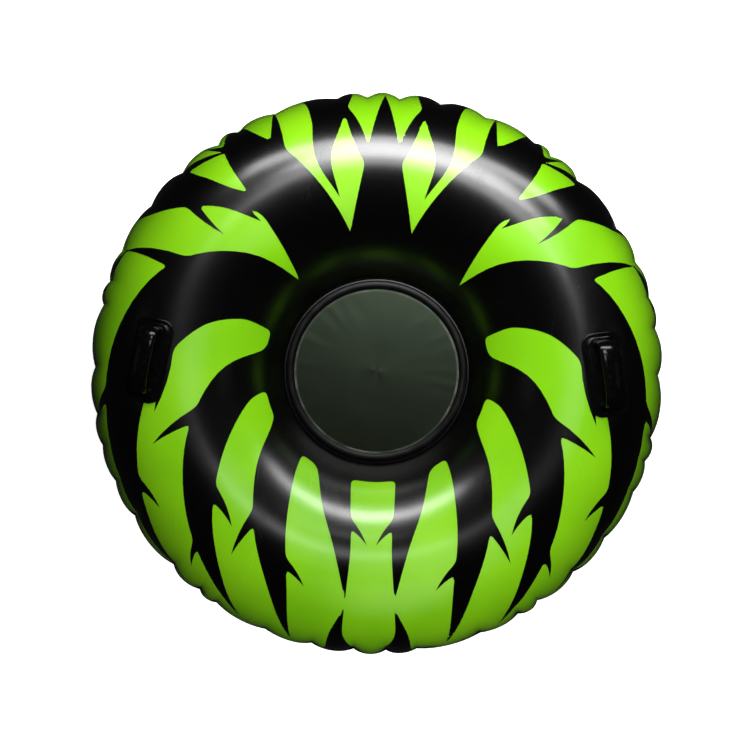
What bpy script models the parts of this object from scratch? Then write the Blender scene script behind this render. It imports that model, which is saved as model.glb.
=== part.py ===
"""Snow tube: an inflated ring of two welded sheets with a disc seat, two handles and an air valve.

The tube lies flat on the ground. The origin is on the ground under the middle of the seat,
+Z is up and +Y points to the end of the tube that the tops of the two handles lean in towards.
"""

import bisect
import itertools
import math

import bmesh
import bpy
from mathutils import Matrix, Vector

# All lengths are in metres. A value whose name ends in SHARE or SHARES is a part of another size.

# Inflated ring
OUTER_SEAM_RADIUS = 0.550
INNER_SEAM_RADIUS = 0.180
CREST_RISE = 0.141  # from the level of the seams up to the crest
GROUND_SINK = 0.0025  # how far the ground presses the underside flat
OUTER_OVAL = 0.005  # the outer seam is this much longer than round along X, and shorter along Y
SHEET_THICKNESS = 0.0008
OUTER_MARGIN = 0.004  # welded edge outside the outer seam
INNER_MARGIN = 0.019  # welded edge inside the inner seam, over the edge of the disc
INNER_STEEPNESS_SHARE = 0.85  # sine of the skin's slope where it leaves the inner seam
SECTION_STEPS = 12
SECTION_SAMPLES = 400

# Scallops of the outer seam
SCALLOP_COUNT = 42
SCALLOP_DEPTH = 0.007
SCALLOP_WANDER_SHARE = 0.26  # how far a notch strays from even spacing
SCALLOP_VARIETY_SHARE = 0.3  # how much the notches differ in depth
SCALLOP_TURN_SHARES = (0.0, 0.33, 0.67)  # where the points of one scallop lie between its notches
SCALLOP_ROUNDNESS = 2.2
PUCKER_SLOPE_SHARE = 0.42  # the puckers fade out where the side is this share of upright

# Seat disc and the welt round it
DISC_THICKNESS = 0.0009  # of its rim, which the welding presses thinner than the rest
DISC_FACE_RISE = 0.0002
DISC_FACE_SETBACK = 0.0015  # from the edge of the top skin to the open face of the disc
WELT_SETBACK = 0.002  # from the inner seam to the welt
WELT_HEIGHT = 0.0045
WELT_POINTS = 6
ROUND_SEGMENTS = 64

# Handles
HANDLE_INSET = 0.123  # from the outer seam to the middle of a handle, along X
HANDLE_ADVANCE = 0.001  # how far the handles lie towards +Y
HANDLE_LEAN = math.radians(9.5)
PAD_WIDTH = 0.078
PAD_LENGTH = 0.158
PAD_CORNER = 0.023
PAD_THICKNESS = 0.0035
PAD_EDGE_ROUND = 0.0012
PAD_CELLS = (6, 12)
GRIP_SETBACK = 0.021  # from each end of the pad to the middle of a foot
GRIP_WIDTH = 0.034
GRIP_THICKNESS = 0.013
FINGER_GAP = 0.024  # from the pad to the underside of the grip
GRIP_STATIONS = 16
GRIP_SIDES = 12
GRIP_ARCH_POWER = 0.62  # under 1 flattens the top of the arch and steepens its ends
GRIP_SECTION_POWER = 0.8
GRIP_FOOT_FLARE_SHARE = 0.18

# Air valve, on the inner slope of the underside
VALVE_INSET = 0.056  # from the inner seam to the middle of the valve
PATCH_RADIUS = 0.040
PATCH_THICKNESS = 0.0007
PATCH_CELLS = (8, 8)
VALVE_FLANGE_RADIUS = 0.026
VALVE_FLANGE_HEIGHT = 0.0035
VALVE_FLANGE_EDGE = 0.001
NECK_HEIGHT = 0.009
NECK_WALL = 0.003
BORE_RADIUS = 0.012
SHANK_DEPTH = 0.005  # how far the insert reaches inside the skin
AIRWAY_RADIUS = 0.0093
GASKET_WIRE_RADIUS = 0.001
GASKET_SIDES = 8
COLLAR_RADIUS = 0.017
COLLAR_THICKNESS = 0.003
COLLAR_ROUND = 0.0006
EAR_REACH = 0.021  # from the valve's axis to the fold of the cap's strap
EAR_WIDTH = 0.008
FLAP_RADIUS = 0.0106
FLAP_THICKNESS = 0.0008
PLUG_PLAY = 0.0003
PLUG_TAPER = 0.0006
PLUG_DEPTH = 0.0045
LID_RADIUS = 0.0135
LID_THICKNESS = 0.002
LID_ROUND = 0.0006
STRAP_WIDTH = 0.007
STRAP_THICKNESS = 0.0012
TAB_REACH = 0.019  # from the valve's axis to the tip of the finger tab
VALVE_SEGMENTS = 24

# Fits
CLEARANCE = 0.0003  # between pieces that touch or are welded to each other
HOLE_PLAY = 0.0012  # round the insert where it passes through the skin
OVERRUN = 0.010  # how far a cutter runs past what it cuts
SURFACE_STEP = 0.0002  # over which the skin's slope is measured
MERGE_DISTANCE = 0.00002  # points nearer to each other than this are one
SMOOTH_ANGLE = math.radians(40)

SEAM_LEVEL = CREST_RISE - GROUND_SINK
INNER_EDGE_RISE = DISC_THICKNESS / 2 + CLEARANCE + SHEET_THICKNESS
OUTER_EDGE_RISE = CLEARANCE / 2 + SHEET_THICKNESS
RING_SPAN = OUTER_SEAM_RADIUS - INNER_SEAM_RADIUS
INNER_EDGE_RADIUS = INNER_SEAM_RADIUS - INNER_MARGIN
WELT_OUTER_RADIUS = INNER_SEAM_RADIUS - WELT_SETBACK
HANDLE_REACH = OUTER_SEAM_RADIUS - HANDLE_INSET
GRIP_SPAN = PAD_LENGTH - 2 * GRIP_SETBACK
VALVE_RADIUS = INNER_SEAM_RADIUS + VALVE_INSET
TOP = 1
UNDERSIDE = -1

# Heights along the valve's axis, from the outside of the skin
PATCH_TOP = CLEARANCE + PATCH_THICKNESS
COLLAR_BASE = NECK_HEIGHT + 2 * CLEARANCE + 2 * GASKET_WIRE_RADIUS
COLLAR_TOP = COLLAR_BASE + COLLAR_THICKNESS
LID_BASE = COLLAR_TOP + CLEARANCE
FLAP_TOP = -SHANK_DEPTH - CLEARANCE
SHANK_RADIUS = BORE_RADIUS - CLEARANCE


def section_samples():
    """Radius and height share along the skin from the inner seam to the outer one.

    An inflated ring of thin sheet bends more the further out it is, in step with its radius,
    which gives the radius at each slope. The height then follows from the slope.
    """
    spread = (OUTER_SEAM_RADIUS**2 - INNER_SEAM_RADIUS**2) / (1 + INNER_STEEPNESS_SHARE)
    steepest = math.asin(INNER_STEEPNESS_SHARE)
    step = (steepest + math.pi / 2) / SECTION_SAMPLES
    radii = []
    heights = []
    height = 0.0
    for index in range(SECTION_SAMPLES + 1):
        slope = steepest - index * step
        squared = INNER_SEAM_RADIUS**2 + (INNER_STEEPNESS_SHARE - math.sin(slope)) * spread
        radii.append(math.sqrt(squared))
        heights.append(height)
        middle = slope - step / 2
        squared = INNER_SEAM_RADIUS**2 + (INNER_STEEPNESS_SHARE - math.sin(middle)) * spread
        height += math.sin(middle) * spread / (2 * math.sqrt(squared)) * step
    fall = heights[-1]
    level = [
        high - fall * (radius - INNER_SEAM_RADIUS) / RING_SPAN
        for radius, high in zip(radii, heights)
    ]
    crest = max(level)
    return radii, [high / crest for high in level]


SECTION_RADII, SECTION_SHARES = section_samples()
CREST_INDEX = SECTION_SHARES.index(max(SECTION_SHARES))


def height_share(radius):
    """Height of the skin over the seams at a radius, as a share of the crest's."""
    place = bisect.bisect_left(SECTION_RADII, radius)
    if place == 0 or place > SECTION_SAMPLES:
        return 0.0
    low, high = SECTION_RADII[place - 1], SECTION_RADII[place]
    part = (radius - low) / (high - low)
    return SECTION_SHARES[place - 1] * (1 - part) + SECTION_SHARES[place] * part


def ring_share(radius):
    return min(max((radius - INNER_SEAM_RADIUS) / RING_SPAN, 0.0), 1.0)


def skin_rise(radius):
    """Height of the skin's outside over the middle of the seams."""
    share = height_share(radius)
    across = ring_share(radius)
    edge = INNER_EDGE_RISE * (1 - across) + OUTER_EDGE_RISE * across
    return CREST_RISE * share + edge * (1 - share)


def skin_gap(point, side):
    """How far a point lies above the top skin, or below the underside, measured upright."""
    turn = math.atan2(point.y, point.x)
    stretch = OUTER_OVAL * math.cos(2 * turn) / RING_SPAN
    radius = (math.hypot(point.x, point.y) + stretch * INNER_SEAM_RADIUS) / (1 + stretch)
    return side * (point.z - SEAM_LEVEL) - skin_rise(radius)


def skin_normal(point, side):
    """Direction out of the skin at a point on it."""
    slopes = []
    for axis in (Vector((1, 0, 0)), Vector((0, 1, 0)), Vector((0, 0, 1))):
        ahead = skin_gap(point + axis * SURFACE_STEP, side)
        behind = skin_gap(point - axis * SURFACE_STEP, side)
        slopes.append(ahead - behind)
    return Vector(slopes).normalized()


def onto_skin(point, direction, side):
    """The point moved along the direction until it meets the skin's outside."""
    low, high = -CREST_RISE, CREST_RISE
    for _ in range(40):
        middle = (low + high) / 2
        if skin_gap(point + direction * middle, side) > 0:
            high = middle
        else:
            low = middle
    return point + direction * high


def seat_frame(x, y, side, along):
    """Axes of a piece that sits on the skin: Z out of it, Y as near to `along` as that leaves."""
    start = Vector((x, y, SEAM_LEVEL + side * CREST_RISE / 2))
    origin = onto_skin(start, Vector((0, 0, side)), side)
    normal = skin_normal(origin, side)
    forward = (along - normal * along.dot(normal)).normalized()
    across = forward.cross(normal)
    frame = Matrix((across, forward, normal)).transposed().to_4x4()
    frame.translation = origin
    return frame


def new_object(name, mesh, collection, material=None):
    obj = bpy.data.objects.new(name, mesh)
    collection.objects.link(obj)
    if material:
        mesh.materials.append(material)
    return obj


def mesh_of(name, shape):
    mesh = bpy.data.meshes.new(name)
    shape.to_mesh(mesh)
    shape.free()
    return mesh


def smooth(obj):
    obj.data.shade_smooth()
    obj.data.set_sharp_from_angle(angle=SMOOTH_ANGLE)


def as_cutter(obj):
    obj.hide_render = True
    obj.display_type = "WIRE"
    return obj


def add_boolean(obj, other, operation):
    modifier = obj.modifiers.new(operation.title(), "BOOLEAN")
    modifier.operation = operation
    modifier.object = other


def add_wall(obj, thickness, offset):
    modifier = obj.modifiers.new("Wall", "SOLIDIFY")
    modifier.thickness = thickness
    modifier.offset = offset
    modifier.use_even_offset = True


def turned(name, profile, collection, material, segments=VALVE_SEGMENTS):
    """An outline at +X, turned once about Z. It runs down its outer side.

    It closes on itself, unless its two ends lie on the axis.
    """
    shape = bmesh.new()
    points = [shape.verts.new((radius, 0, height)) for radius, height in profile]
    closing = [] if profile[0][0] == profile[-1][0] == 0 else points[:1]
    for first, second in zip(points, points[1:] + closing):
        shape.edges.new((first, second))
    obj = new_object(name, mesh_of(name, shape), collection, material)
    screw = obj.modifiers.new("Turn", "SCREW")
    screw.steps = segments
    screw.render_steps = segments
    screw.use_merge_vertices = True
    screw.merge_threshold = MERGE_DISTANCE
    screw.use_smooth_shade = True
    return obj


def block(name, low, high, collection, material=None):
    """A box between two corners."""
    shape = bmesh.new()
    bmesh.ops.create_cube(shape, size=1)
    middle = (low + high) / 2
    for vert in shape.verts:
        vert.co = middle + Vector(a * b for a, b in zip(vert.co, high - low))
    return new_object(name, mesh_of(name, shape), collection, material)


def cylinder(name, radius, low, high, collection, material=None, segments=VALVE_SEGMENTS):
    shape = bmesh.new()
    lift = Matrix.Translation((0, 0, (low + high) / 2))
    bmesh.ops.create_cone(
        shape,
        cap_ends=True,
        segments=segments,
        radius1=radius,
        radius2=radius,
        depth=high - low,
        matrix=lift,
    )
    return new_object(name, mesh_of(name, shape), collection, material)


def rounded(across, along, width, length, corner):
    """A place in the square from -1 to 1, moved into a rectangle with round corners."""
    x, y = across * width / 2, along * length / 2
    past_x = (abs(x) - (width / 2 - corner)) / corner
    past_y = (abs(y) - (length / 2 - corner)) / corner
    if past_x > 0 and past_y > 0:
        turned_x = past_x * math.sqrt(1 - past_y**2 / 2)
        turned_y = past_y * math.sqrt(1 - past_x**2 / 2)
        x = math.copysign(width / 2 - corner + turned_x * corner, x)
        y = math.copysign(length / 2 - corner + turned_y * corner, y)
    return x, y


def fitted_sheet(name, frame, side, size, cells, lift, thickness, collection, material=None):
    """A sheet that lies on the skin: size is its width, length and corner radius.

    Its lower face is `lift` outside the skin. A negative thickness grows it inwards.
    """
    shape = bmesh.new()
    bmesh.ops.create_grid(shape, x_segments=cells[0], y_segments=cells[1], size=1)
    normal = frame.col[2].to_3d()
    for vert in shape.verts:
        x, y = rounded(vert.co.x, vert.co.y, *size)
        point = onto_skin(frame @ Vector((x, y, 0)), normal, side)
        vert.co = point + skin_normal(point, side) * lift
    obj = new_object(name, mesh_of(name, shape), collection, material)
    add_wall(obj, abs(thickness), math.copysign(1, thickness))
    return obj


def notch_places():
    """Turn and depth of each notch. The pattern repeats after half a round."""
    places = []
    period = SCALLOP_COUNT // 2
    for index in range(SCALLOP_COUNT + 1):
        phase = 2 * math.pi * (index % period) / period
        stray = math.sin(5 * phase) + math.sin(8 * phase + 1) / 2
        depth = 1 + SCALLOP_VARIETY_SHARE * math.sin(4 * phase + 2)
        turn = 2 * math.pi * (index + SCALLOP_WANDER_SHARE * stray) / SCALLOP_COUNT
        places.append((turn, SCALLOP_DEPTH * depth))
    return places


def rim_points():
    """Turn and dip of every point round the outer seam."""
    points = []
    places = notch_places()
    for (turn, depth), (next_turn, next_depth) in zip(places, places[1:]):
        for share in SCALLOP_TURN_SHARES:
            mixed = depth * (1 - share) + next_depth * share
            dip = mixed * abs(2 * share - 1) ** SCALLOP_ROUNDNESS
            points.append((turn * (1 - share) + next_turn * share, dip))
    return points


def section_places():
    """The samples that get a ring of points, so spaced that each facet strays as far from the skin."""
    reach = list(itertools.accumulate(1 / math.sqrt(radius) for radius in SECTION_RADII))
    shares = [step / SECTION_STEPS for step in range(SECTION_STEPS + 1)]
    return {bisect.bisect_left(reach, reach[-1] * share) for share in shares}


def section_rows(side):
    """Radius, height and pucker share of each ring of points, from the inner edge to the outer."""
    rows = [(INNER_EDGE_RADIUS, INNER_EDGE_RISE, 0.0)]
    places = section_places()
    if side == UNDERSIDE:
        flat = [
            place
            for place, radius in enumerate(SECTION_RADII)
            if skin_rise(radius) >= SEAM_LEVEL
        ]
        places = {place for place in places if not flat[0] <= place <= flat[-1]}
        places |= {flat[0], flat[-1]}
    for place in sorted(places):
        radius = SECTION_RADII[place]
        beyond = (place - CREST_INDEX) / (SECTION_SAMPLES - CREST_INDEX)
        fade = min(max((beyond - PUCKER_SLOPE_SHARE) / (1 - PUCKER_SLOPE_SHARE), 0.0), 1.0)
        rise = skin_rise(radius)
        if side == UNDERSIDE:
            rise = min(rise, SEAM_LEVEL)
        rows.append((radius, rise, fade * fade * (3 - 2 * fade)))
    rows.append((OUTER_SEAM_RADIUS + OUTER_MARGIN, OUTER_EDGE_RISE, 1.0))
    return rows


def loft(shape, inner, outer, side):
    """Faces between two rings of points, of which the outer one may have twice as many."""
    ratio = len(outer) // len(inner)
    for index, point in enumerate(inner):
        after = inner[(index + 1) % len(inner)]
        beyond = [outer[(index * ratio + step) % len(outer)] for step in range(ratio + 1)]
        if ratio == 1:
            faces = [[point, *beyond, after]]
        else:
            faces = [[point, *beyond[:2]], [point, beyond[1], after], [after, *beyond[1:]]]
        for corners in faces:
            shape.faces.new(corners if side == TOP else corners[::-1])


def skin(name, side, collection, material):
    """One of the two sheets, lofted from ring to ring because the outer ones are scalloped.

    The rings inside the puckers need only half the points.
    """
    shape = bmesh.new()
    rim = rim_points()
    rings = []
    for radius, rise, pucker in section_rows(side):
        ring = []
        for turn, dip in rim if pucker else rim[::2]:
            oval = OUTER_OVAL * math.cos(2 * turn) * ring_share(radius)
            reach = radius + oval - dip * pucker
            place = (reach * math.cos(turn), reach * math.sin(turn), SEAM_LEVEL + side * rise)
            ring.append(shape.verts.new(place))
        rings.append(ring)
    for inner, outer in zip(rings, rings[1:]):
        loft(shape, inner, outer, side)
    obj = new_object(name, mesh_of(name, shape), collection, material)
    add_wall(obj, SHEET_THICKNESS, -1)
    smooth(obj)
    return obj


def disc(name, collection, material):
    """The seat disc. Its open face stands proud of the rim, which is welded between the skins."""
    rim_top = SEAM_LEVEL + DISC_THICKNESS / 2
    bottom = SEAM_LEVEL - DISC_THICKNESS / 2
    face_radius = INNER_EDGE_RADIUS - DISC_FACE_SETBACK
    edge_radius = INNER_SEAM_RADIUS - SHEET_THICKNESS - CLEARANCE
    profile = [
        (0, rim_top + DISC_FACE_RISE),
        (face_radius, rim_top + DISC_FACE_RISE),
        (face_radius + DISC_FACE_RISE, rim_top),
        (edge_radius, rim_top),
        (edge_radius, bottom),
        (0, bottom),
    ]
    return turned(name, profile, collection, material, ROUND_SEGMENTS)


def welt(name, collection, material):
    """The half-round band over the join of the top skin and the disc."""
    base = SEAM_LEVEL + INNER_EDGE_RISE + CLEARANCE
    middle = (INNER_EDGE_RADIUS + WELT_OUTER_RADIUS) / 2
    reach = (WELT_OUTER_RADIUS - INNER_EDGE_RADIUS) / 2
    profile = []
    for index in range(WELT_POINTS + 1):
        turn = math.pi * index / WELT_POINTS
        profile.append((middle - reach * math.cos(turn), base + WELT_HEIGHT * math.sin(turn)))
    return turned(name, profile, collection, material, ROUND_SEGMENTS)


def arch_place(share):
    """Where the grip's centre line is at a share of its length: along the handle, and height."""
    turn = math.pi * share
    high = FINGER_GAP + GRIP_THICKNESS / 2
    along = math.copysign(abs(math.cos(turn)) ** GRIP_ARCH_POWER, math.cos(turn))
    return along * GRIP_SPAN / 2, high * math.sin(turn) ** GRIP_ARCH_POWER


def grip(name, frame, trim, collection, cutters, material):
    """The arched bar of a handle, swept along its centre line and trimmed to the pad."""
    outline = bpy.data.curves.new(name + "_section", "CURVE")
    outline.dimensions = "2D"
    loop = outline.splines.new("POLY")
    loop.points.add(GRIP_SIDES - 1)
    for index, point in enumerate(loop.points):
        turn = 2 * math.pi * (index + 0.5) / GRIP_SIDES
        across = math.copysign(abs(math.cos(turn)) ** GRIP_SECTION_POWER, math.cos(turn))
        thick = math.copysign(abs(math.sin(turn)) ** GRIP_SECTION_POWER, math.sin(turn))
        point.co = (across * GRIP_WIDTH / 2, thick * GRIP_THICKNESS / 2, 0, 1)
    loop.use_cyclic_u = True
    section = as_cutter(new_object(name + "_section", outline, cutters))

    path = bpy.data.curves.new(name + "_path", "CURVE")
    path.dimensions = "3D"
    path.twist_mode = "MINIMUM"
    path.bevel_mode = "OBJECT"
    path.bevel_object = section
    path.use_fill_caps = True
    line = path.splines.new("POLY")
    line.points.add(GRIP_STATIONS + 2)
    seat = CLEARANCE + PAD_THICKNESS
    places = [arch_place(index / GRIP_STATIONS) for index in range(GRIP_STATIONS + 1)]
    places = [(GRIP_SPAN / 2, -OVERRUN), *places, (-GRIP_SPAN / 2, -OVERRUN)]
    for point, (along, high) in zip(line.points, places):
        point.co = (0, along, seat + high, 1)
        low = max(1 - max(high, 0) / FINGER_GAP, 0)
        point.radius = 1 + GRIP_FOOT_FLARE_SHARE * low * low
    swept = new_object(name + "_path", path, cutters)
    bpy.context.view_layer.update()

    evaluated = swept.evaluated_get(bpy.context.evaluated_depsgraph_get())
    mesh = bpy.data.meshes.new_from_object(evaluated)
    mesh.name = name
    shape = bmesh.new()
    shape.from_mesh(mesh)
    bmesh.ops.remove_doubles(shape, verts=shape.verts, dist=MERGE_DISTANCE)
    bmesh.ops.recalc_face_normals(shape, faces=shape.faces)
    shape.to_mesh(mesh)
    shape.free()
    bpy.data.objects.remove(swept)
    obj = new_object(name, mesh, collection)
    mesh.materials.clear()
    mesh.materials.append(material)
    obj.matrix_world = frame
    add_boolean(obj, trim, "DIFFERENCE")
    smooth(obj)
    return obj


def handle(side_name, direction, collection, cutters, materials):
    """One handle: direction is 1 for the one at +X and -1 for its mirror image."""
    along = Vector((-direction * math.sin(HANDLE_LEAN), math.cos(HANDLE_LEAN), 0))
    frame = seat_frame(direction * HANDLE_REACH, HANDLE_ADVANCE, TOP, along)
    size = (PAD_WIDTH, PAD_LENGTH, PAD_CORNER)
    pad = fitted_sheet(
        f"handle_{side_name}_pad",
        frame,
        TOP,
        size,
        PAD_CELLS,
        CLEARANCE,
        PAD_THICKNESS,
        collection,
        materials["handle"],
    )
    edge = pad.modifiers.new("Edge", "BEVEL")
    edge.width = PAD_EDGE_ROUND
    edge.segments = 2
    edge.limit_method = "ANGLE"
    edge.angle_limit = SMOOTH_ANGLE
    smooth(pad)
    trim = fitted_sheet(
        f"handle_{side_name}_trim",
        frame,
        TOP,
        size,
        PAD_CELLS,
        PAD_THICKNESS + 2 * CLEARANCE,
        -2 * OVERRUN,
        cutters,
    )
    as_cutter(trim)
    grip(f"handle_{side_name}_grip", frame, trim, collection, cutters, materials["handle"])


def valve_hole(frame, cutters):
    """Cutter for the hole that the insert passes through in the skin and its patch."""
    radius = SHANK_RADIUS + HOLE_PLAY
    hole = cylinder("valve_hole", radius, -2 * OVERRUN, OVERRUN, cutters)
    hole.matrix_world = frame
    return as_cutter(hole)


def valve_base(frame, cutters, collection, material):
    """Flange and neck, moulded in one. The flange's underside follows the patch."""
    neck = BORE_RADIUS + NECK_WALL
    profile = [
        (neck, NECK_HEIGHT),
        (neck, VALVE_FLANGE_HEIGHT + VALVE_FLANGE_EDGE),
        (neck + VALVE_FLANGE_EDGE, VALVE_FLANGE_HEIGHT),
        (VALVE_FLANGE_RADIUS - VALVE_FLANGE_EDGE, VALVE_FLANGE_HEIGHT),
        (VALVE_FLANGE_RADIUS, VALVE_FLANGE_HEIGHT - VALVE_FLANGE_EDGE),
        (VALVE_FLANGE_RADIUS, -OVERRUN / 2),
        (BORE_RADIUS, -OVERRUN / 2),
        (BORE_RADIUS, NECK_HEIGHT),
    ]
    base = turned("valve_base", profile, collection, material)
    base.matrix_world = frame
    reach = 2 * PATCH_RADIUS
    trim = fitted_sheet(
        "valve_trim",
        frame,
        UNDERSIDE,
        (reach, reach, PATCH_RADIUS),
        PATCH_CELLS,
        PATCH_TOP + CLEARANCE,
        -2 * OVERRUN,
        cutters,
    )
    add_boolean(base, as_cutter(trim), "DIFFERENCE")


def valve_insert(cutters, collection, material):
    """The sleeve that screws into the neck, with the collar and the ear for the cap's strap."""
    profile = [
        (AIRWAY_RADIUS, COLLAR_TOP),
        (COLLAR_RADIUS - COLLAR_ROUND, COLLAR_TOP),
        (COLLAR_RADIUS, COLLAR_TOP - COLLAR_ROUND),
        (COLLAR_RADIUS, COLLAR_BASE),
        (SHANK_RADIUS, COLLAR_BASE),
        (SHANK_RADIUS, -SHANK_DEPTH),
        (AIRWAY_RADIUS, -SHANK_DEPTH),
    ]
    insert = turned("valve_insert", profile, collection, material)
    root = (COLLAR_RADIUS + SHANK_RADIUS) / 2
    low = Vector((-EAR_WIDTH / 2, root, COLLAR_BASE + COLLAR_ROUND))
    high = Vector((EAR_WIDTH / 2, EAR_REACH, COLLAR_TOP))
    ear = as_cutter(block("valve_ear", low, high, cutters))
    ear.parent = insert
    add_boolean(insert, ear, "UNION")
    return insert


def valve_cap(fold, cutters, collection, material):
    """Lid and plug, turned, with the strap to the ear and the tab that a finger lifts.

    It hangs from `fold`, which lies on the fold of the strap.
    """
    plug = AIRWAY_RADIUS - PLUG_PLAY
    profile = [
        (0, LID_BASE + LID_THICKNESS),
        (LID_RADIUS - LID_ROUND, LID_BASE + LID_THICKNESS),
        (LID_RADIUS, LID_BASE + LID_THICKNESS - LID_ROUND),
        (LID_RADIUS, LID_BASE),
        (plug, LID_BASE),
        (plug - PLUG_TAPER, LID_BASE - PLUG_DEPTH),
        (0, LID_BASE - PLUG_DEPTH),
    ]
    cap = turned("valve_cap", profile, collection, material)
    strap_low = Vector((-STRAP_WIDTH / 2, -TAB_REACH, LID_BASE))
    strap_high = Vector((STRAP_WIDTH / 2, EAR_REACH, LID_BASE + STRAP_THICKNESS))
    strap = as_cutter(block("valve_strap", strap_low, strap_high, cutters))
    add_boolean(cap, strap, "UNION")
    for piece in (cap, strap):
        piece.parent = fold
        piece.location = -fold.location


def new_empty(name, parent, place, collection):
    empty = bpy.data.objects.new(name, None)
    collection.objects.link(empty)
    empty.parent = parent
    empty.location = place
    return empty


def valve(skin_obj, collection, cutters, materials):
    """The valve's pieces, all built about its axis and then placed on the skin."""
    frame = seat_frame(0, -VALVE_RADIUS, UNDERSIDE, Vector((1, 0, 0)))
    hole = valve_hole(frame, cutters)
    reach = 2 * PATCH_RADIUS
    patch = fitted_sheet(
        "valve_patch",
        frame,
        UNDERSIDE,
        (reach, reach, PATCH_RADIUS),
        PATCH_CELLS,
        CLEARANCE,
        PATCH_THICKNESS,
        collection,
        materials["underside"],
    )
    add_boolean(patch, hole, "DIFFERENCE")
    add_boolean(skin_obj, hole, "DIFFERENCE")
    valve_base(frame, cutters, collection, materials["valve"])

    axis = new_empty("valve_axis", None, (0, 0, 0), collection)
    axis.matrix_world = frame

    bpy.ops.mesh.primitive_torus_add(
        major_radius=SHANK_RADIUS + CLEARANCE + GASKET_WIRE_RADIUS,
        minor_radius=GASKET_WIRE_RADIUS,
        major_segments=VALVE_SEGMENTS,
        minor_segments=GASKET_SIDES,
    )
    gasket = bpy.context.object
    gasket.name = "valve_gasket"
    gasket.data.materials.append(materials["gasket"])
    for holder in gasket.users_collection:
        holder.objects.unlink(gasket)
    collection.objects.link(gasket)
    gasket.parent = axis
    gasket.location = (0, 0, NECK_HEIGHT + CLEARANCE + GASKET_WIRE_RADIUS)

    insert = valve_insert(cutters, collection, materials["valve"])
    insert.parent = axis

    flap_fold = new_empty("flap_fold", axis, (0, FLAP_RADIUS, FLAP_TOP), collection)
    flap = cylinder("valve_flap", FLAP_RADIUS, -FLAP_THICKNESS, 0, collection, materials["gasket"])
    flap.parent = flap_fold
    flap.location = (0, -FLAP_RADIUS, 0)

    cap_fold = new_empty("cap_fold", axis, (0, EAR_REACH, LID_BASE), collection)
    valve_cap(cap_fold, cutters, collection, materials["valve"])


def make_material(name, colour, roughness):
    material = bpy.data.materials.new(name)
    material.use_nodes = True
    shader = material.node_tree.nodes["Principled BSDF"]
    shader.inputs["Base Color"].default_value = (*colour, 1)
    shader.inputs["Roughness"].default_value = roughness
    shader.inputs["Metallic"].default_value = 0
    material.diffuse_color = (*colour, 1)
    return material


def main():
    for obj in list(bpy.data.objects):
        bpy.data.objects.remove(obj)
    collection = bpy.data.collections.new("snow_tube")
    cutters = bpy.data.collections.new("cutters")
    bpy.context.scene.collection.children.link(collection)
    bpy.context.scene.collection.children.link(cutters)
    materials = {
        "print": make_material("printed_sheet", (0.25, 0.62, 0.04), 0.25),
        "underside": make_material("black_sheet", (0.012, 0.012, 0.012), 0.3),
        "disc": make_material("disc_sheet", (0.03, 0.035, 0.03), 0.45),
        "handle": make_material("handle_moulding", (0.006, 0.006, 0.007), 0.2),
        "valve": make_material("valve_moulding", (0.02, 0.02, 0.022), 0.35),
        "gasket": make_material("soft_rubber", (0.16, 0.16, 0.16), 0.6),
    }
    skin("top_skin", TOP, collection, materials["print"])
    bottom = skin("bottom_skin", UNDERSIDE, collection, materials["underside"])
    disc("centre_disc", collection, materials["disc"])
    welt("inner_seam_welt", collection, materials["underside"])
    handle("left", -1, collection, cutters, materials)
    handle("right", 1, collection, cutters, materials)
    valve(bottom, collection, cutters, materials)


main()
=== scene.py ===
"""Finish of an inflated snow tube: its sheets, print, seat, handles, air valve and stage.

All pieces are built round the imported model, in its frame: metres, +Z up, the origin on the
ground under the middle of the seat, and +Y towards the top of the picture.
"""

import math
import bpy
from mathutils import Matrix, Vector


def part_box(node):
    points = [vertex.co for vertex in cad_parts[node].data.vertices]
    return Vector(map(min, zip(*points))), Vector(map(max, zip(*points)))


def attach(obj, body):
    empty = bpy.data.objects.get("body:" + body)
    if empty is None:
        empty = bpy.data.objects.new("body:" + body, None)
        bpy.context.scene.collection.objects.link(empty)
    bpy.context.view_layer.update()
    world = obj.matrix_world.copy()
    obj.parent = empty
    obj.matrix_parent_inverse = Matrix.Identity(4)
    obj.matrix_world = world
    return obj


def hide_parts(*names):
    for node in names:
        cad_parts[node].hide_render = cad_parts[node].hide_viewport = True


bl_info = {
    "name": "Snow Tube",
    "version": (1, 0, 0),
    "blender": (4, 5, 0),
    "location": "View3D > Sidebar > Snow Tube",
    "description": "Builds the sheets, handles, valve and stage of an inflated snow tube",
    "category": "Object",
}

import bmesh
import bpy
import numpy as np
from bpy.props import FloatProperty, FloatVectorProperty, IntProperty, PointerProperty
from bpy.types import Operator, Panel, PropertyGroup
from mathutils import Matrix, Vector

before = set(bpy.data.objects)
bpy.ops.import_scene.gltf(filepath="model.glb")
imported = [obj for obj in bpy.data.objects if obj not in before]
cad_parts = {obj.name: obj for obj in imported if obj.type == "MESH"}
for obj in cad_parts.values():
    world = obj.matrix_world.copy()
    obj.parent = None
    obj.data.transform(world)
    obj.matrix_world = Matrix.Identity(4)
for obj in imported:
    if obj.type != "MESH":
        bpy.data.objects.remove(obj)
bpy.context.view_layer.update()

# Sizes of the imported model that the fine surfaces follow. Lengths are in metres.
OUTER_SEAM_RADIUS = 0.550
INNER_SEAM_RADIUS = 0.180
CREST_RISE = 0.141
OUTER_OVAL = 0.005
SHEET_THICKNESS = 0.0008
OUTER_MARGIN = 0.004
INNER_MARGIN = 0.019
INNER_STEEPNESS_SHARE = 0.85
SECTION_SAMPLES = 800
SCALLOP_COUNT = 42
SCALLOP_DEPTH = 0.007
SCALLOP_WANDER_SHARE = 0.26
SCALLOP_VARIETY_SHARE = 0.3
SCALLOP_ROUNDNESS = 2.2
PUCKER_SLOPE_SHARE = 0.42
DISC_THICKNESS = 0.0009
DISC_FACE_RISE = 0.0002
WELT_SETBACK = 0.002
WELT_HEIGHT = 0.0045
HANDLE_REACH = 0.427
HANDLE_ADVANCE = 0.001
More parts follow.
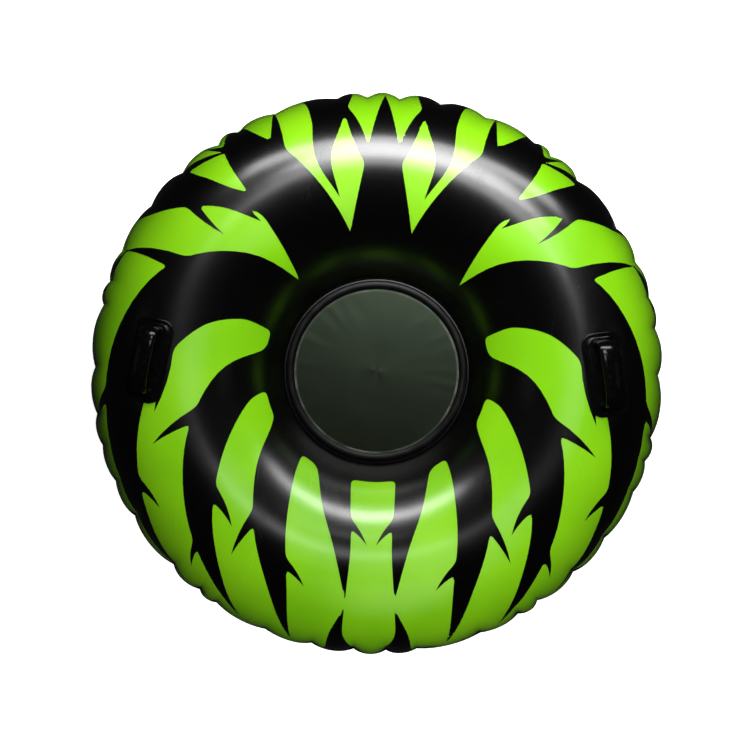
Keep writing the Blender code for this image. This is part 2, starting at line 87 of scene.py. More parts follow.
HANDLE_LEAN = math.radians(9.5)
PAD_WIDTH = 0.078
PAD_LENGTH = 0.158
PAD_CORNER = 0.023
PAD_THICKNESS = 0.0035
GRIP_SPAN = 0.116
GRIP_WIDTH = 0.034
GRIP_THICKNESS = 0.013
FINGER_GAP = 0.024
GRIP_ARCH_POWER = 0.62
GRIP_SECTION_POWER = 0.8
VALVE_RADIUS = 0.236
PATCH_RADIUS = 0.040
PATCH_THICKNESS = 0.0007
CLEARANCE = 0.0003
SURFACE_STEP = 0.0002

TOP = 1
UNDERSIDE = -1
RING_SPAN = OUTER_SEAM_RADIUS - INNER_SEAM_RADIUS
INNER_EDGE_RADIUS = INNER_SEAM_RADIUS - INNER_MARGIN
WELT_OUTER_RADIUS = INNER_SEAM_RADIUS - WELT_SETBACK
INNER_EDGE_RISE = DISC_THICKNESS / 2 + CLEARANCE + SHEET_THICKNESS
OUTER_EDGE_RISE = CLEARANCE / 2 + SHEET_THICKNESS
SEAM_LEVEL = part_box("centre_disc")[0].z + DISC_THICKNESS / 2
SMOOTH_ANGLE = math.radians(38)

# Fineness and folds of the visible surfaces
COVER_ROWS = 100
SCALLOP_POINTS = 17
NOTCH_CROWDING = 0.58
ROW_CROWDING = 1.15
INNER_FLAT_RADII = (INNER_EDGE_RADIUS, INNER_EDGE_RADIUS + 0.001, 0.17, INNER_SEAM_RADIUS - 0.0015)
OUTER_FLAT_SHARES = (0.25, 0.85, 1.0)  # of the outer margin
INSIDE_INNER_ROWS = 8  # rows at the inner seam that the sheet's inside keeps, each of them
INSIDE_OUTER_ROWS = 23  # rows at the outer seam, of which it keeps every second one
INSIDE_ROW_STEP = 10
LONG_FOLD_LENGTHS = (0.6, 1.5)  # shares of the fold length, of a crease that starts at a notch
LONG_FOLD_DEPTHS = (0.8, 1.2)
SHORT_FOLD_COUNT = 46
SHORT_FOLD_LENGTHS = (0.3, 0.9)
SHORT_FOLD_DEPTHS = (0.15, 0.4)
FOLD_LEAN = 0.18
FOLD_WIDTH = 0.0035
FOLD_SPREAD = 0.13
FOLD_START = 0.007
FOLD_ROUNDNESS = 0.3
FOLD_FADE_POWER = 1.4
FOLD_SEED = 11
PILLOW_FADE_POWER = 1.5
PILLOW_START = 0.02
SEAM_WAVE = 0.0011
SEAM_WAVE_COUNT = 21
SEAM_WAVE_FADE = 0.02
SEAT_CORE_RADIUS = 0.004
SEAT_OPEN_RADIUS = INNER_EDGE_RADIUS - 0.0015
SEAT_WELD_RADIUS = 0.1568
SEAT_ROWS = 40
SEAT_SEGMENTS = 256
SEAT_WRINKLE = 0.00008
SEAT_WRINKLE_START = (0.07, 0.15)
SEAT_WRINKLE_END = 0.154
SEAT_SLACK = 0.0004
SEAT_SLACK_END = (0.02, 0.15)
WELT_SEGMENTS = 288
WELT_ARC_POINTS = 15
WELT_FOOT_POINTS = 5
WELT_UNEVENNESS = 0.035
PAD_CORNER_POINTS = 9
PAD_SIDE_POINTS = 22
PAD_END_POINTS = 8
PAD_LEAST_CORNER = 0.0004
GRIP_TRACE_POINTS = 800
GRIP_ROWS = 110
GRIP_SIDES = 48
GRIP_EASE_ROUNDS = 6
GRIP_ROOT = 0.0022
GRIP_FOOT_FLARE = 0.18
GRIP_TOE_FLARE = 0.09
GRIP_TOE_HEIGHT = 0.0016
SKIN_HALVINGS = 36  # of the reach in which a point's place on the skin is sought
CORNER_SHARE = 0.45  # of a side that the rounding of one corner may take up
CORNER_STEPS = 6
SLAB_EDGE_TURNS = (-90, -67.5, -45, -22.5, 22.5, 45, 67.5, 90)  # degrees, from below to above

# The stage
FLOOR_REACH = 6.0
FLOOR_DROP = 0.0004
FLOOR_GLOW = 1.0
FLOOR_SHADE = 0.985  # of the floor's colour, where it is darkest
WORLD_STRENGTH = 0.012
EDGE_LAMP_SHARE = 1 / 3.1  # of the overhead lamp's power
CAMERA_SHIFT = (-0.003, -0.0075, 0.0)  # of the camera and what it looks at, sideways
SENSOR_WIDTH = 36  # in millimetres, as Blender takes it
CLIP_END = 50

# (inset, height over the skin) of the handle's plate, from under its middle round to its top
PAD_PROFILE = (
    [(inset, CLEARANCE) for inset in (0.0385, 0.031, 0.023, 0.015, 0.008, 0.003, 0.0003)]
    + [(0.0, 0.0006), (0.0, 0.0022), (0.0002, 0.0029), (0.0007, 0.0034), (0.0014, 0.0037)]
    + [(0.0022, 0.0038), (0.0036, 0.0038), (0.0044, 0.0036), (0.0052, 0.0031), (0.006, 0.0028)]
    + [(0.0078, 0.0028), (0.0088, 0.0030), (0.0098, 0.0035), (0.0108, 0.0038), (0.013, 0.0039)]
    + [(0.019, 0.0040), (0.026, 0.0041), (0.033, 0.0041), (0.0385, 0.0041)]
)

# Heights and radii of the valve, along and from its axis
VALVE_SEGMENTS = 72
BORE_RADIUS = 0.012
NECK_RADIUS = 0.015
NECK_HEIGHT = 0.009
FLANGE_RADIUS = 0.026
FLANGE_HEIGHT = 0.0035
SHANK_RADIUS = BORE_RADIUS - CLEARANCE
SHANK_DEPTH = 0.005
AIRWAY_RADIUS = 0.0093
GASKET_WIRE_RADIUS = 0.001
GASKET_WIRE_SIDES = 20
GASKET_LEVEL = NECK_HEIGHT + CLEARANCE
COLLAR_RADIUS = 0.017
COLLAR_BASE = NECK_HEIGHT + 2 * CLEARANCE + 2 * GASKET_WIRE_RADIUS
COLLAR_TOP = COLLAR_BASE + 0.003
COLLAR_LOBE_DEPTH = 0.0011
COLLAR_LOBE_START = 0.0162
EAR_REACH = 0.021
EAR_START = 0.0145
EAR_WIDTH = 0.008
EAR_CORNER = 0.0014
EAR_EDGE = 0.0004
EAR_DROP = 0.0002  # of its top under the collar's
EAR_LIFT = 0.0006  # of its back over the collar's
FLAP_RADIUS = 0.0106
FLAP_THICKNESS = 0.0008
FLAP_EDGE = 0.0003
FLAP_TOP = -SHANK_DEPTH - CLEARANCE
LID_RADIUS = 0.0135
LID_BASE = COLLAR_TOP + CLEARANCE
STRAP_WIDTH = 0.007
STRAP_THICKNESS = 0.0012
STRAP_CORNER = 0.0012
STRAP_EDGE = 0.0004
TAB_REACH = 0.019
TAB_RIBS = (-0.0178, -0.0164, -0.015)
TAB_RIB_LENGTH = 0.0056
TAB_RIB_WIDTH = 0.0008
TAB_RIB_RISE = 0.0004
TAB_RIB_ROOT = 0.0004
TAB_RIB_CORNER = 0.0003
TAB_RIB_EDGE = 0.0002
HOLE_RADIUS = 0.0129
HOLE_CUT_REACH = 0.012
BASE_SEAT = PATCH_THICKNESS + 2 * CLEARANCE
PATCH_TOP = CLEARANCE + PATCH_THICKNESS
PATCH_PROFILE = (
    [(radius, CLEARANCE) for radius in np.linspace(HOLE_RADIUS, PATCH_RADIUS - 0.0002, 10)]
    + [(PATCH_RADIUS, CLEARANCE + 0.0002), (PATCH_RADIUS, PATCH_TOP - 0.0002)]
    + [(PATCH_RADIUS - 0.0002, PATCH_TOP), (0.0375, PATCH_TOP), (0.037, PATCH_TOP - 0.0003)]
    + [(0.0345, PATCH_TOP - 0.0003), (0.034, PATCH_TOP), (0.0325, PATCH_TOP)]
    + [(0.032, PATCH_TOP - 0.0003), (0.0295, PATCH_TOP - 0.0003), (0.029, PATCH_TOP)]
    + [(radius, PATCH_TOP) for radius in np.linspace(0.0275, HOLE_RADIUS, 6)]
)
BASE_PROFILE = (
    [(BORE_RADIUS, NECK_HEIGHT - 0.0006), (BORE_RADIUS + 0.0005, NECK_HEIGHT)]
    + [(NECK_RADIUS - 0.0006, NECK_HEIGHT), (NECK_RADIUS - 0.0002, NECK_HEIGHT - 0.0002)]
    + [(NECK_RADIUS, NECK_HEIGHT - 0.0006), (NECK_RADIUS, FLANGE_HEIGHT + 0.0014)]
    + [(NECK_RADIUS + 0.0004, FLANGE_HEIGHT + 0.0005), (NECK_RADIUS + 0.0014, FLANGE_HEIGHT)]
    + [(0.0195, FLANGE_HEIGHT), (0.0198, FLANGE_HEIGHT - 0.0004), (0.0208, FLANGE_HEIGHT - 0.0004)]
    + [(0.0211, FLANGE_HEIGHT), (FLANGE_RADIUS - 0.0012, FLANGE_HEIGHT)]
    + [(FLANGE_RADIUS - 0.0004, FLANGE_HEIGHT - 0.0003), (FLANGE_RADIUS, FLANGE_HEIGHT - 0.0011)]
    + [(radius, -1.0) for radius in (FLANGE_RADIUS, 0.021, 0.0165, BORE_RADIUS)]
)
INSERT_PROFILE = (
    [(AIRWAY_RADIUS, COLLAR_TOP - 0.0004), (AIRWAY_RADIUS + 0.0004, COLLAR_TOP)]
    + [(0.0155, COLLAR_TOP), (0.0163, COLLAR_TOP), (COLLAR_RADIUS - 0.0004, COLLAR_TOP - 0.0001)]
    + [(COLLAR_RADIUS, COLLAR_TOP - 0.0006), (COLLAR_RADIUS, COLLAR_BASE + 0.0005)]
    + [(COLLAR_RADIUS - 0.0004, COLLAR_BASE + 0.0001), (0.0163, COLLAR_BASE), (0.0155, COLLAR_BASE)]
    + [(SHANK_RADIUS, COLLAR_BASE), (SHANK_RADIUS, 0.0085)]
    + [
        (SHANK_RADIUS - depth, 0.008 - 0.001 * turn - shift)
        for turn in range(10)
        for depth, shift in ((0.0, 0.0), (0.0006, 0.0005))
    ]
    + [(SHANK_RADIUS, -0.0025), (SHANK_RADIUS, -SHANK_DEPTH + 0.0004)]
    + [(SHANK_RADIUS - 0.0004, -SHANK_DEPTH), (AIRWAY_RADIUS, -SHANK_DEPTH)]
)
LID_PROFILE = (
    [(0.0006, LID_BASE + 0.0014), (0.0085, LID_BASE + 0.0014), (0.0095, LID_BASE + 0.0016)]
    + [(0.0104, LID_BASE + 0.002), (LID_RADIUS - 0.0007, LID_BASE + 0.002)]
    + [(LID_RADIUS - 0.0002, LID_BASE + 0.0018), (LID_RADIUS, LID_BASE + 0.0013)]
    + [(LID_RADIUS, LID_BASE + 0.0004), (LID_RADIUS - 0.0004, LID_BASE), (0.009, LID_BASE)]
    + [(0.009, LID_BASE - 0.0009), (0.0088, LID_BASE - 0.0012), (0.009, LID_BASE - 0.0016)]
    + [(0.0087, LID_BASE - 0.0035), (0.0078, LID_BASE - 0.0045), (0.0006, LID_BASE - 0.0045)]
)

# The print, as strokes on the flat sheet before it is blown up. The outer seam is at 1.
# Each stroke is a list of (angle in degrees, distance from the middle, half width), with its
# thorns as (share of its length, side, reach past its edge, half width at the root). The right
# half is given, and its mirror image is printed too.
STROKES = [
    # claws out from the ring round the seat, which bend down along the flanks
    (
        [(90, 0.33, 0.115), (90, 0.48, 0.092), (90, 0.62, 0.062), (90, 0.76, 0.032)]
        + [(90, 0.90, 0.0)],
        [(0.50, -1, 0.070, 0.030)],
    ),
    (
        [(64, 0.33, 0.105), (63, 0.50, 0.108), (60, 0.66, 0.094), (57, 0.82, 0.058)]
        + [(58, 1.0, 0.0)],
        [(0.34, -1, 0.090, 0.040), (0.52, 1, 0.080, 0.034), (0.74, -1, 0.050, 0.020)],
    ),
    (
        [(34, 0.33, 0.090), (30, 0.50, 0.104), (18, 0.64, 0.100), (1, 0.74, 0.080)]
        + [(-17, 0.81, 0.055), (-34, 0.87, 0.030), (-50, 0.94, 0.0)],
        [(0.26, 1, 0.095, 0.040), (0.42, -1, 0.085, 0.038), (0.57, 1, 0.060, 0.028)]
        + [(0.74, -1, 0.050, 0.020)],
    ),
    (
        [(0, 0.33, 0.060), (-9, 0.46, 0.066), (-25, 0.58, 0.057), (-41, 0.70, 0.038)]
        + [(-55, 0.82, 0.018), (-63, 0.92, 0.0)],
        [(0.30, 1, 0.070, 0.030), (0.52, -1, 0.060, 0.024), (0.68, 1, 0.040, 0.016)],
    ),
    (
        [(-37, 0.33, 0.064), (-47, 0.46, 0.062), (-58, 0.60, 0.048), (-68, 0.75, 0.027)]
        + [(-74, 0.92, 0.0)],
        [(0.40, 1, 0.060, 0.026), (0.62, -1, 0.045, 0.018)],
    ),
    (
        [(-68, 0.33, 0.055), (-75, 0.45, 0.046), (-81, 0.58, 0.026), (-84, 0.72, 0.0)],
        [(0.45, -1, 0.04, 0.018)],
    ),
    # spikes in from the rim
    (
        [(76, 1.06, 0.115), (78, 0.93, 0.084), (77, 0.80, 0.050), (74, 0.68, 0.024)]
        + [(76, 0.56, 0.0)],
        [(0.36, -1, 0.060, 0.026)],
    ),
    (
        [(35, 1.06, 0.135), (37, 0.94, 0.102), (41, 0.82, 0.062), (46, 0.71, 0.030)]
        + [(50, 0.59, 0.0)],
        [(0.30, -1, 0.075, 0.032), (0.50, 1, 0.055, 0.024)],
    ),
    ([(6, 1.06, 0.090), (11, 0.99, 0.056), (18, 0.93, 0.028), (24, 0.88, 0.0)], []),
    ([(-29, 1.06, 0.070), (-21, 1.00, 0.044), (-13, 0.96, 0.022), (-5, 0.93, 0.0)], []),
    ([(-84, 1.06, 0.075), (-84, 0.94, 0.048), (-83, 0.84, 0.022), (-84, 0.74, 0.0)], []),
]
# How the print, and the painted shade along the rim, are drawn. Lengths on the flat sheet are shares
# of its radius.
STROKE_STEPS = 7  # between two given points of a stroke
SEAT_RING = 0.352  # radius of the dark ring round the seat
SEAT_RING_BLEND = 0.02
RIM_SHADE_START = 0.996  # painted shade: where the dark edge painted along the lower rim starts
RIM_SHADE_SHIFT = 0.02  # how much farther out it starts on the upper rim, which faces the lamps
RIM_SHADE_SPAN = (-0.1, 0.4)  # between which distances towards +Y it shifts
BARB_LEAN = math.radians(26)
BARB_STEPS = 6
BARB_BLUNTNESS = 1.15
BARB_FIRST_LEAN = 2.0  # in shares of the lean, at the root of a thorn
BARB_STRAIGHTENING = 1.1  # share of the lean that it loses up to its tip
BARB_MEAN_LEAN = 1.45
BARB_BLEND = 0.012
TIP_WIDTH = 0.012  # half width under which the end of a stroke is thin
TIP_EXTENSION = 0.03  # how far a thin end is carried on past its tip
TIP_REACH = 0.030  # how far from a thin end its offset is worked out
TIP_CLAIM = 0.0155  # farther off than this, the offset isn't used
RIVAL_GAP = 0.017  # nor where a second thin end is less than this farther off
PRINT_EDGE = 0.0004  # half width of the print's soft edge, in metres
# Kept on the points: the dark print and the painted shade along the lower rim.
PRINT_AND_SHADE_ATTRIBUTE = "inside_print_and_rim_shade"
TIP_OFFSET_ATTRIBUTE = "tip_offset"
TIP_WIDTH_ATTRIBUTE = "tip_width"


def section_curve():
    """Radius, height share and length along the skin, from the inner seam to the outer one."""
    spread = (OUTER_SEAM_RADIUS**2 - INNER_SEAM_RADIUS**2) / (1 + INNER_STEEPNESS_SHARE)
    slopes = np.linspace(math.asin(INNER_STEEPNESS_SHARE), -math.pi / 2, SECTION_SAMPLES + 1)
    radii = np.sqrt(INNER_SEAM_RADIUS**2 + (INNER_STEEPNESS_SHARE - np.sin(slopes)) * spread)
    middles = (slopes[1:] + slopes[:-1]) / 2
    middle_radii = np.sqrt(
        INNER_SEAM_RADIUS**2 + (INNER_STEEPNESS_SHARE - np.sin(middles)) * spread
    )
    gains = np.sin(middles) * spread / (2 * middle_radii) * (slopes[0] - slopes[1])
    heights = np.concatenate([[0.0], np.cumsum(gains)])
    level = heights - heights[-1] * (radii - INNER_SEAM_RADIUS) / RING_SPAN
    shares = level / level.max()
    steps = np.hypot(np.diff(radii), np.diff(shares) * CREST_RISE)
    return radii, shares, np.concatenate([[0.0], np.cumsum(steps)])


SECTION_RADII, SECTION_SHARES, SECTION_LENGTHS = section_curve()
CREST_INDEX = int(np.argmax(SECTION_SHARES))
SECTION_LENGTH = SECTION_LENGTHS[-1]


def ring_share(radius):
    return np.clip((radius - INNER_SEAM_RADIUS) / RING_SPAN, 0, 1)


def skin_rise(radius):
    """Height of the skin's outside over the middle of the seams."""
    share = np.interp(radius, SECTION_RADII, SECTION_SHARES, left=0, right=0)
    across = ring_share(radius)
    edge = INNER_EDGE_RISE * (1 - across) + OUTER_EDGE_RISE * across
    return CREST_RISE * share + edge * (1 - share)


def skin_gap(points, side):
    """How far points lie outside the skin, measured upright."""
    turn = np.arctan2(points[..., 1], points[..., 0])
    stretch = OUTER_OVAL * np.cos(2 * turn) / RING_SPAN
    plan = np.hypot(points[..., 0], points[..., 1])
    radius = (plan + stretch * INNER_SEAM_RADIUS) / (1 + stretch)
    return side * (points[..., 2] - SEAM_LEVEL) - skin_rise(radius)


def skin_normals(points, side):
    """Directions out of the skin at points on it."""
    slopes = []
    for axis in np.eye(3) * SURFACE_STEP:
        slopes.append(skin_gap(points + axis, side) - skin_gap(points - axis, side))
    slopes = np.stack(slopes, -1)
    return slopes / np.linalg.norm(slopes, axis=-1, keepdims=True)


def onto_skin(points, direction, side):
    """The points moved along one direction until they meet the skin's outside."""
    low = np.full(points.shape[:-1], -CREST_RISE)
    high = np.full(points.shape[:-1], CREST_RISE)
    for _ in range(SKIN_HALVINGS):
        middle = (low + high) / 2
        outside = skin_gap(points + direction * middle[..., None], side) > 0
        high = np.where(outside, middle, high)
        low = np.where(outside, low, middle)
    return points + direction * high[..., None]


def seat_axes(x, y, side, along):
    """Origin and axes of a piece on the skin: out of it, as near to `along` as fits, and across."""
    start = np.array([x, y, SEAM_LEVEL + side * CREST_RISE / 2])
    origin = onto_skin(start, np.array([0.0, 0.0, side]), side)
    normal = skin_normals(origin, side)
    forward = along - normal * (along @ normal)
    forward /= np.linalg.norm(forward)
    return origin, np.stack([np.cross(forward, normal), forward, normal])


def valve_seat():
    """Origin and axes of the valve, on the inner slope of the underside."""
    return seat_axes(0, -VALVE_RADIUS, UNDERSIDE, np.array([1.0, 0, 0]))


def in_axes(points, origin, axes):
    return origin + points @ axes


def soft_step(values, low, high):
    share = np.clip((values - low) / (high - low), 0, 1)
    return share * share * (3 - 2 * share)


def loop_faces(rows, around, closed_rows=False, flip=False):
    """Corner numbers of the quads between rows of points that each run once round."""
    index = np.arange(rows * around).reshape(rows, around)
    inner = index if closed_rows else index[:-1]
    outer = np.roll(index, -1, 0) if closed_rows else index[1:]
    corners = [inner, outer, np.roll(outer, -1, 1), np.roll(inner, -1, 1)]
    faces = np.stack(corners, -1).reshape(-1, 4)
    return faces[:, ::-1] if flip else faces


def mesh_object(name, points, faces, materials):
    """A smooth-shaded object of points and lists of corners, with its faces turned outwards."""
    mesh = bpy.data.meshes.new(name)
    faces = faces.tolist() if isinstance(faces, np.ndarray) else faces
    mesh.from_pydata(points.reshape(-1, 3).tolist(), [], faces)
    shape = bmesh.new()
    shape.from_mesh(mesh)
    bmesh.ops.recalc_face_normals(shape, faces=shape.faces)
    shape.to_mesh(mesh)
    shape.free()
    mesh.shade_smooth()
    mesh.set_sharp_from_angle(angle=SMOOTH_ANGLE)
    for material in materials:
        mesh.materials.append(material)
    obj = bpy.data.objects.new(name, mesh)
    bpy.context.scene.collection.objects.link(obj)
    return obj


def joined(name, parts, material):
    """One object from several (points, faces) parts."""
    points = []
    faces = []
    for part_points, part_faces in parts:
        start = sum(len(group) for group in points)
        points.append(part_points.reshape(-1, 3))
        faces += [[corner + start for corner in face] for face in part_faces]
    materials = [material] if material else []
    return mesh_object(name, np.concatenate(points), faces, materials)


def cut_round_hole(piece, origin, axes, radius):
    """Cuts a round hole through a thin sheet, along the last of the axes."""
    rings = round_rings([(radius, -HOLE_CUT_REACH), (radius, HOLE_CUT_REACH)], VALVE_SEGMENTS)
    cutter = joined("hole_cutter", [ring_solid(in_axes(rings, origin, axes))], None)
    modifier = piece.modifiers.new("Hole", "BOOLEAN")
    modifier.object = cutter
    modifier.solver = "EXACT"
    whole = piece.data
    cut = piece.evaluated_get(bpy.context.evaluated_depsgraph_get())
    piece.data = bpy.data.meshes.new_from_object(cut)
    piece.modifiers.clear()
    piece.data.name = piece.name
    piece.data.set_sharp_from_angle(angle=SMOOTH_ANGLE)
    bpy.data.meshes.remove(whole)
    bpy.data.meshes.remove(cutter.data)


def mount_piece(piece, body, slot, *nodes):
    """Puts a finished piece on its body, in place of the CAD nodes that it stands for."""
    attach(piece, body)
    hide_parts(*nodes)


def slab_part(outline, low, high, soft):
    """(points, faces) of a flat outline with rounded upper and lower edges."""
    ahead = np.roll(outline, -1, 0) - np.roll(outline, 1, 0)
    inward = np.stack([-ahead[:, 1], ahead[:, 0]], -1)
    inward /= np.linalg.norm(inward, axis=1, keepdims=True)
    rows = []
    for turn in SLAB_EDGE_TURNS:
        lean = math.radians(turn)
        middle = low + soft if turn < 0 else high - soft
        level = np.full((len(outline), 1), middle + soft * math.sin(lean))
        rows.append(np.hstack([outline + inward * soft * (1 - math.cos(lean)), level]))
    points = np.stack(rows)
    count = len(outline)
    faces = loop_faces(len(rows), count, flip=True).tolist()
    faces.append(list(range(count))[::-1])
    faces.append(list(range((len(rows) - 1) * count, len(rows) * count)))
    return points, faces


def rounded_rectangle(low, high, radius):
    """The outline between two corner points. Its corners are rounded as far as its sides allow."""
    corners = np.array([low, (high[0], low[1]), high, (low[0], high[1])], float)
    points = []
    for index, corner in enumerate(corners):
        before = corners[index - 1] - corner
        after = corners[(index + 1) % len(corners)] - corner
        room = [np.linalg.norm(side) * CORNER_SHARE for side in (before, after)]
        reach = min(radius, *room)
        start = corner + before / np.linalg.norm(before) * reach
        end = corner + after / np.linalg.norm(after) * reach
        for share in np.linspace(0, 1, CORNER_STEPS + 1):
            bend = corner * 2 * share * (1 - share)
            points.append(start * (1 - share) ** 2 + bend + end * share**2)
    return np.array(points)


# The two sheets of the ring


def notch_places():
    """Turn and depth of each notch of the outer seam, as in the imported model."""
    period = SCALLOP_COUNT // 2
    index = np.arange(SCALLOP_COUNT + 1)
    phase = 2 * math.pi * (index % period) / period
    stray = np.sin(5 * phase) + np.sin(8 * phase + 1) / 2
    depth = SCALLOP_DEPTH * (1 + SCALLOP_VARIETY_SHARE * np.sin(4 * phase + 2))
    return 2 * math.pi * (index + SCALLOP_WANDER_SHARE * stray) / SCALLOP_COUNT, depth


def rim_points(count):
    """Turn, dip and pillow share of every point round the rim, closer together at the notches."""
    turns, depths = notch_places()
    steps = np.arange(count) / count
    shares = steps - NOTCH_CROWDING * np.sin(2 * math.pi * steps) / (2 * math.pi)
    turn = turns[:-1, None] * (1 - shares) + turns[1:, None] * shares
    depth = depths[:-1, None] * (1 - shares) + depths[1:, None] * shares
    away = np.abs(2 * shares - 1)
    dip = depth * away**SCALLOP_ROUNDNESS
    pillow = np.broadcast_to(1 - away**2, turn.shape)
    return turn.ravel(), dip.ravel(), pillow.ravel()


def folds(turn, from_seam, depth, length, seed):
    """How far the sheet is folded in: a crease runs in from each notch, and short ones between."""
    chance = np.random.default_rng(seed)
    turns, depths = notch_places()
    creases = []
    for place, deep in zip(turns[:-1], depths[:-1] / SCALLOP_DEPTH):
        long = length * chance.uniform(*LONG_FOLD_LENGTHS)
        creases.append((place, depth * deep * chance.uniform(*LONG_FOLD_DEPTHS), long))
    for _ in range(SHORT_FOLD_COUNT):
        place = chance.uniform(0, 2 * math.pi)
        deep = depth * chance.uniform(*SHORT_FOLD_DEPTHS)
        creases.append((place, deep, length * chance.uniform(*SHORT_FOLD_LENGTHS)))
    total = np.zeros((len(from_seam), len(turn)))
    for place, deep, long in creases:
        lean = chance.uniform(-FOLD_LEAN, FOLD_LEAN)
        away = (turn - place + math.pi) % (2 * math.pi) - math.pi
        away = away[None, :] * OUTER_SEAM_RADIUS - lean * from_seam[:, None]
        width = FOLD_WIDTH + FOLD_SPREAD * from_seam[:, None]
        fade = np.exp(-((from_seam / long) ** FOLD_FADE_POWER))
        fade *= soft_step(from_seam, 0, FOLD_START)
        round_off = width * FOLD_ROUNDNESS
        away = np.sqrt(away**2 + round_off**2) - round_off
        total += deep * fade[:, None] * np.exp(-away / width)
    return total


def cover_rows(side, count):
    """Radius, rise, length from the inner seam and pucker share of each row of points."""
    steps = np.linspace(0, 1, count)
    lengths = SECTION_LENGTH * (1 - (1 - steps) ** ROW_CROWDING)
    radii = np.interp(lengths, SECTION_LENGTHS, SECTION_RADII)
    inner = np.array(INNER_FLAT_RADII)
    outer = OUTER_SEAM_RADIUS + OUTER_MARGIN * np.array(OUTER_FLAT_SHARES)
    rises = skin_rise(radii)
    if side == UNDERSIDE:
        rises = np.minimum(rises, SEAM_LEVEL)
    lengths = np.concatenate(
        [inner - INNER_SEAM_RADIUS, lengths, SECTION_LENGTH + outer - OUTER_SEAM_RADIUS]
    )
    radii = np.concatenate([inner, radii, outer])
    rises = np.concatenate(
        [np.full(len(inner), INNER_EDGE_RISE), rises, np.full(len(outer), OUTER_EDGE_RISE)]
    )
    places = np.interp(radii, SECTION_RADII, np.arange(SECTION_SAMPLES + 1))
    beyond = (places - CREST_INDEX) / (SECTION_SAMPLES - CREST_INDEX)
    return radii, rises, lengths, soft_step(beyond, PUCKER_SLOPE_SHARE, 1)


def row_normals(radii, rises):
    """Directions out of the sheet at each row, as (outwards, up)."""
    run = np.diff(radii)
    climb = np.diff(rises)
    reach = np.hypot(run, climb)
    normals = np.stack([-climb / reach, run / reach], -1)
    normals = np.concatenate([normals[:1], normals[1:] + normals[:-1], normals[-1:]])
    return normals / np.linalg.norm(normals, axis=1, keepdims=True)


def inside_rows(last):
    """The rows that the sheet's inside keeps of those outside, from the outer edge inwards."""
    outer = last - INSIDE_OUTER_ROWS
    middle = range(INSIDE_INNER_ROWS, outer, INSIDE_ROW_STEP)
    return [*range(INSIDE_INNER_ROWS), *middle, *range(outer, last, 2), last][::-1]


def cover(name, side, material, look, seed):
    """One sheet of the ring, closed, with its folds and welded edges. Returns it and its rows."""
    radii, rises, lengths, puckers = cover_rows(side, COVER_ROWS)
    turn, dip, pillow = rim_points(SCALLOP_POINTS)
    from_seam = np.maximum(SECTION_LENGTH - lengths, 0)
    moves = -folds(turn, from_seam, look.fold_depth, look.fold_length, seed)
    swell = np.exp(-((from_seam / look.fold_length) ** PILLOW_FADE_POWER))
    swell *= soft_step(from_seam, 0, PILLOW_START)
    moves += look.pillow_height * swell[:, None] * pillow[None, :]
    oval = OUTER_OVAL * np.cos(2 * turn)[None, :] * ring_share(radii)[:, None]
    reach = radii[:, None] + oval - dip[None, :] * puckers[:, None]
    normals = row_normals(radii, rises)
    reach = reach + moves * normals[:, :1]
    rise = rises[:, None] + moves * normals[:, 1:]
    wave = SEAM_WAVE * np.sin(turn * SEAM_WAVE_COUNT + 2 * np.sin(3 * turn))
    wave = wave * np.exp(-from_seam / SEAM_WAVE_FADE)[:, None]
    backs = inside_rows(len(radii) - 1)
    reach = np.concatenate([reach, (reach - SHEET_THICKNESS * normals[:, :1])[backs]])
    rise = np.concatenate([rise, (rise - SHEET_THICKNESS * normals[:, 1:])[backs]])
    wave = np.concatenate([wave, wave[backs]])
    level = SEAM_LEVEL + side * rise + wave
    points = np.stack([reach * np.cos(turn), reach * np.sin(turn), level], -1)
    faces = loop_faces(len(reach), len(turn), closed_rows=True, flip=side == UNDERSIDE)
    piece = mesh_object(name, points, faces, [material])
    flat = (INNER_SEAM_RADIUS + lengths) / (INNER_SEAM_RADIUS + SECTION_LENGTH)
    flat = np.concatenate([flat, flat[backs]])
    return piece, flat[:, None] * np.cos(turn), flat[:, None] * np.sin(turn)


# The print, and the painted shade along the lower rim


def smooth_path(points):
    """Smooth steps of (x, y, half width) between the given points of a stroke."""
    angles, reach, widths = np.array(points, float).T
    turn = np.radians(angles)
    points = np.stack([reach * np.cos(turn), reach * np.sin(turn), widths], -1)
    padded = np.vstack([2 * points[0] - points[1], points, 2 * points[-1] - points[-2]])
    steps = np.arange(STROKE_STEPS)[:, None] / STROKE_STEPS
    path = []
    for before, start, end, after in zip(padded, padded[1:], padded[2:], padded[3:]):
        bend = 2 * before - 5 * start + 4 * end - after
        twist = 3 * start - before - 3 * end + after
        ahead = steps * (end - before) / 2
        path.append(start + ahead + steps**2 * bend / 2 + steps**3 * twist / 2)
    path = np.vstack([*path, points[-1:]])
    path[:, 2] = np.maximum(path[:, 2], 0)
    return path


def barb_path(path, share, side, reach, width):
    """A thorn that leaves a stroke sideways and bends towards the stroke's end."""
    index = min(int(share * (len(path) - 1)), len(path) - 2)
    ahead = path[index + 1, :2] - path[index, :2]
    heading = math.atan2(ahead[1], ahead[0])
    length = (path[index, 2] + reach) / math.sin(BARB_LEAN * BARB_MEAN_LEAN)
    place = path[index, :2].copy()
    points = [(*place, width)]
    for step in range(1, BARB_STEPS + 1):
        share_left = BARB_FIRST_LEAN - BARB_STRAIGHTENING * step / BARB_STEPS
        lean = heading + side * BARB_LEAN * share_left
        place = place + length / BARB_STEPS * np.array([math.cos(lean), math.sin(lean)])
        points.append((*place, width * (1 - (step / BARB_STEPS) ** BARB_BLUNTNESS)))
    return np.array(points)


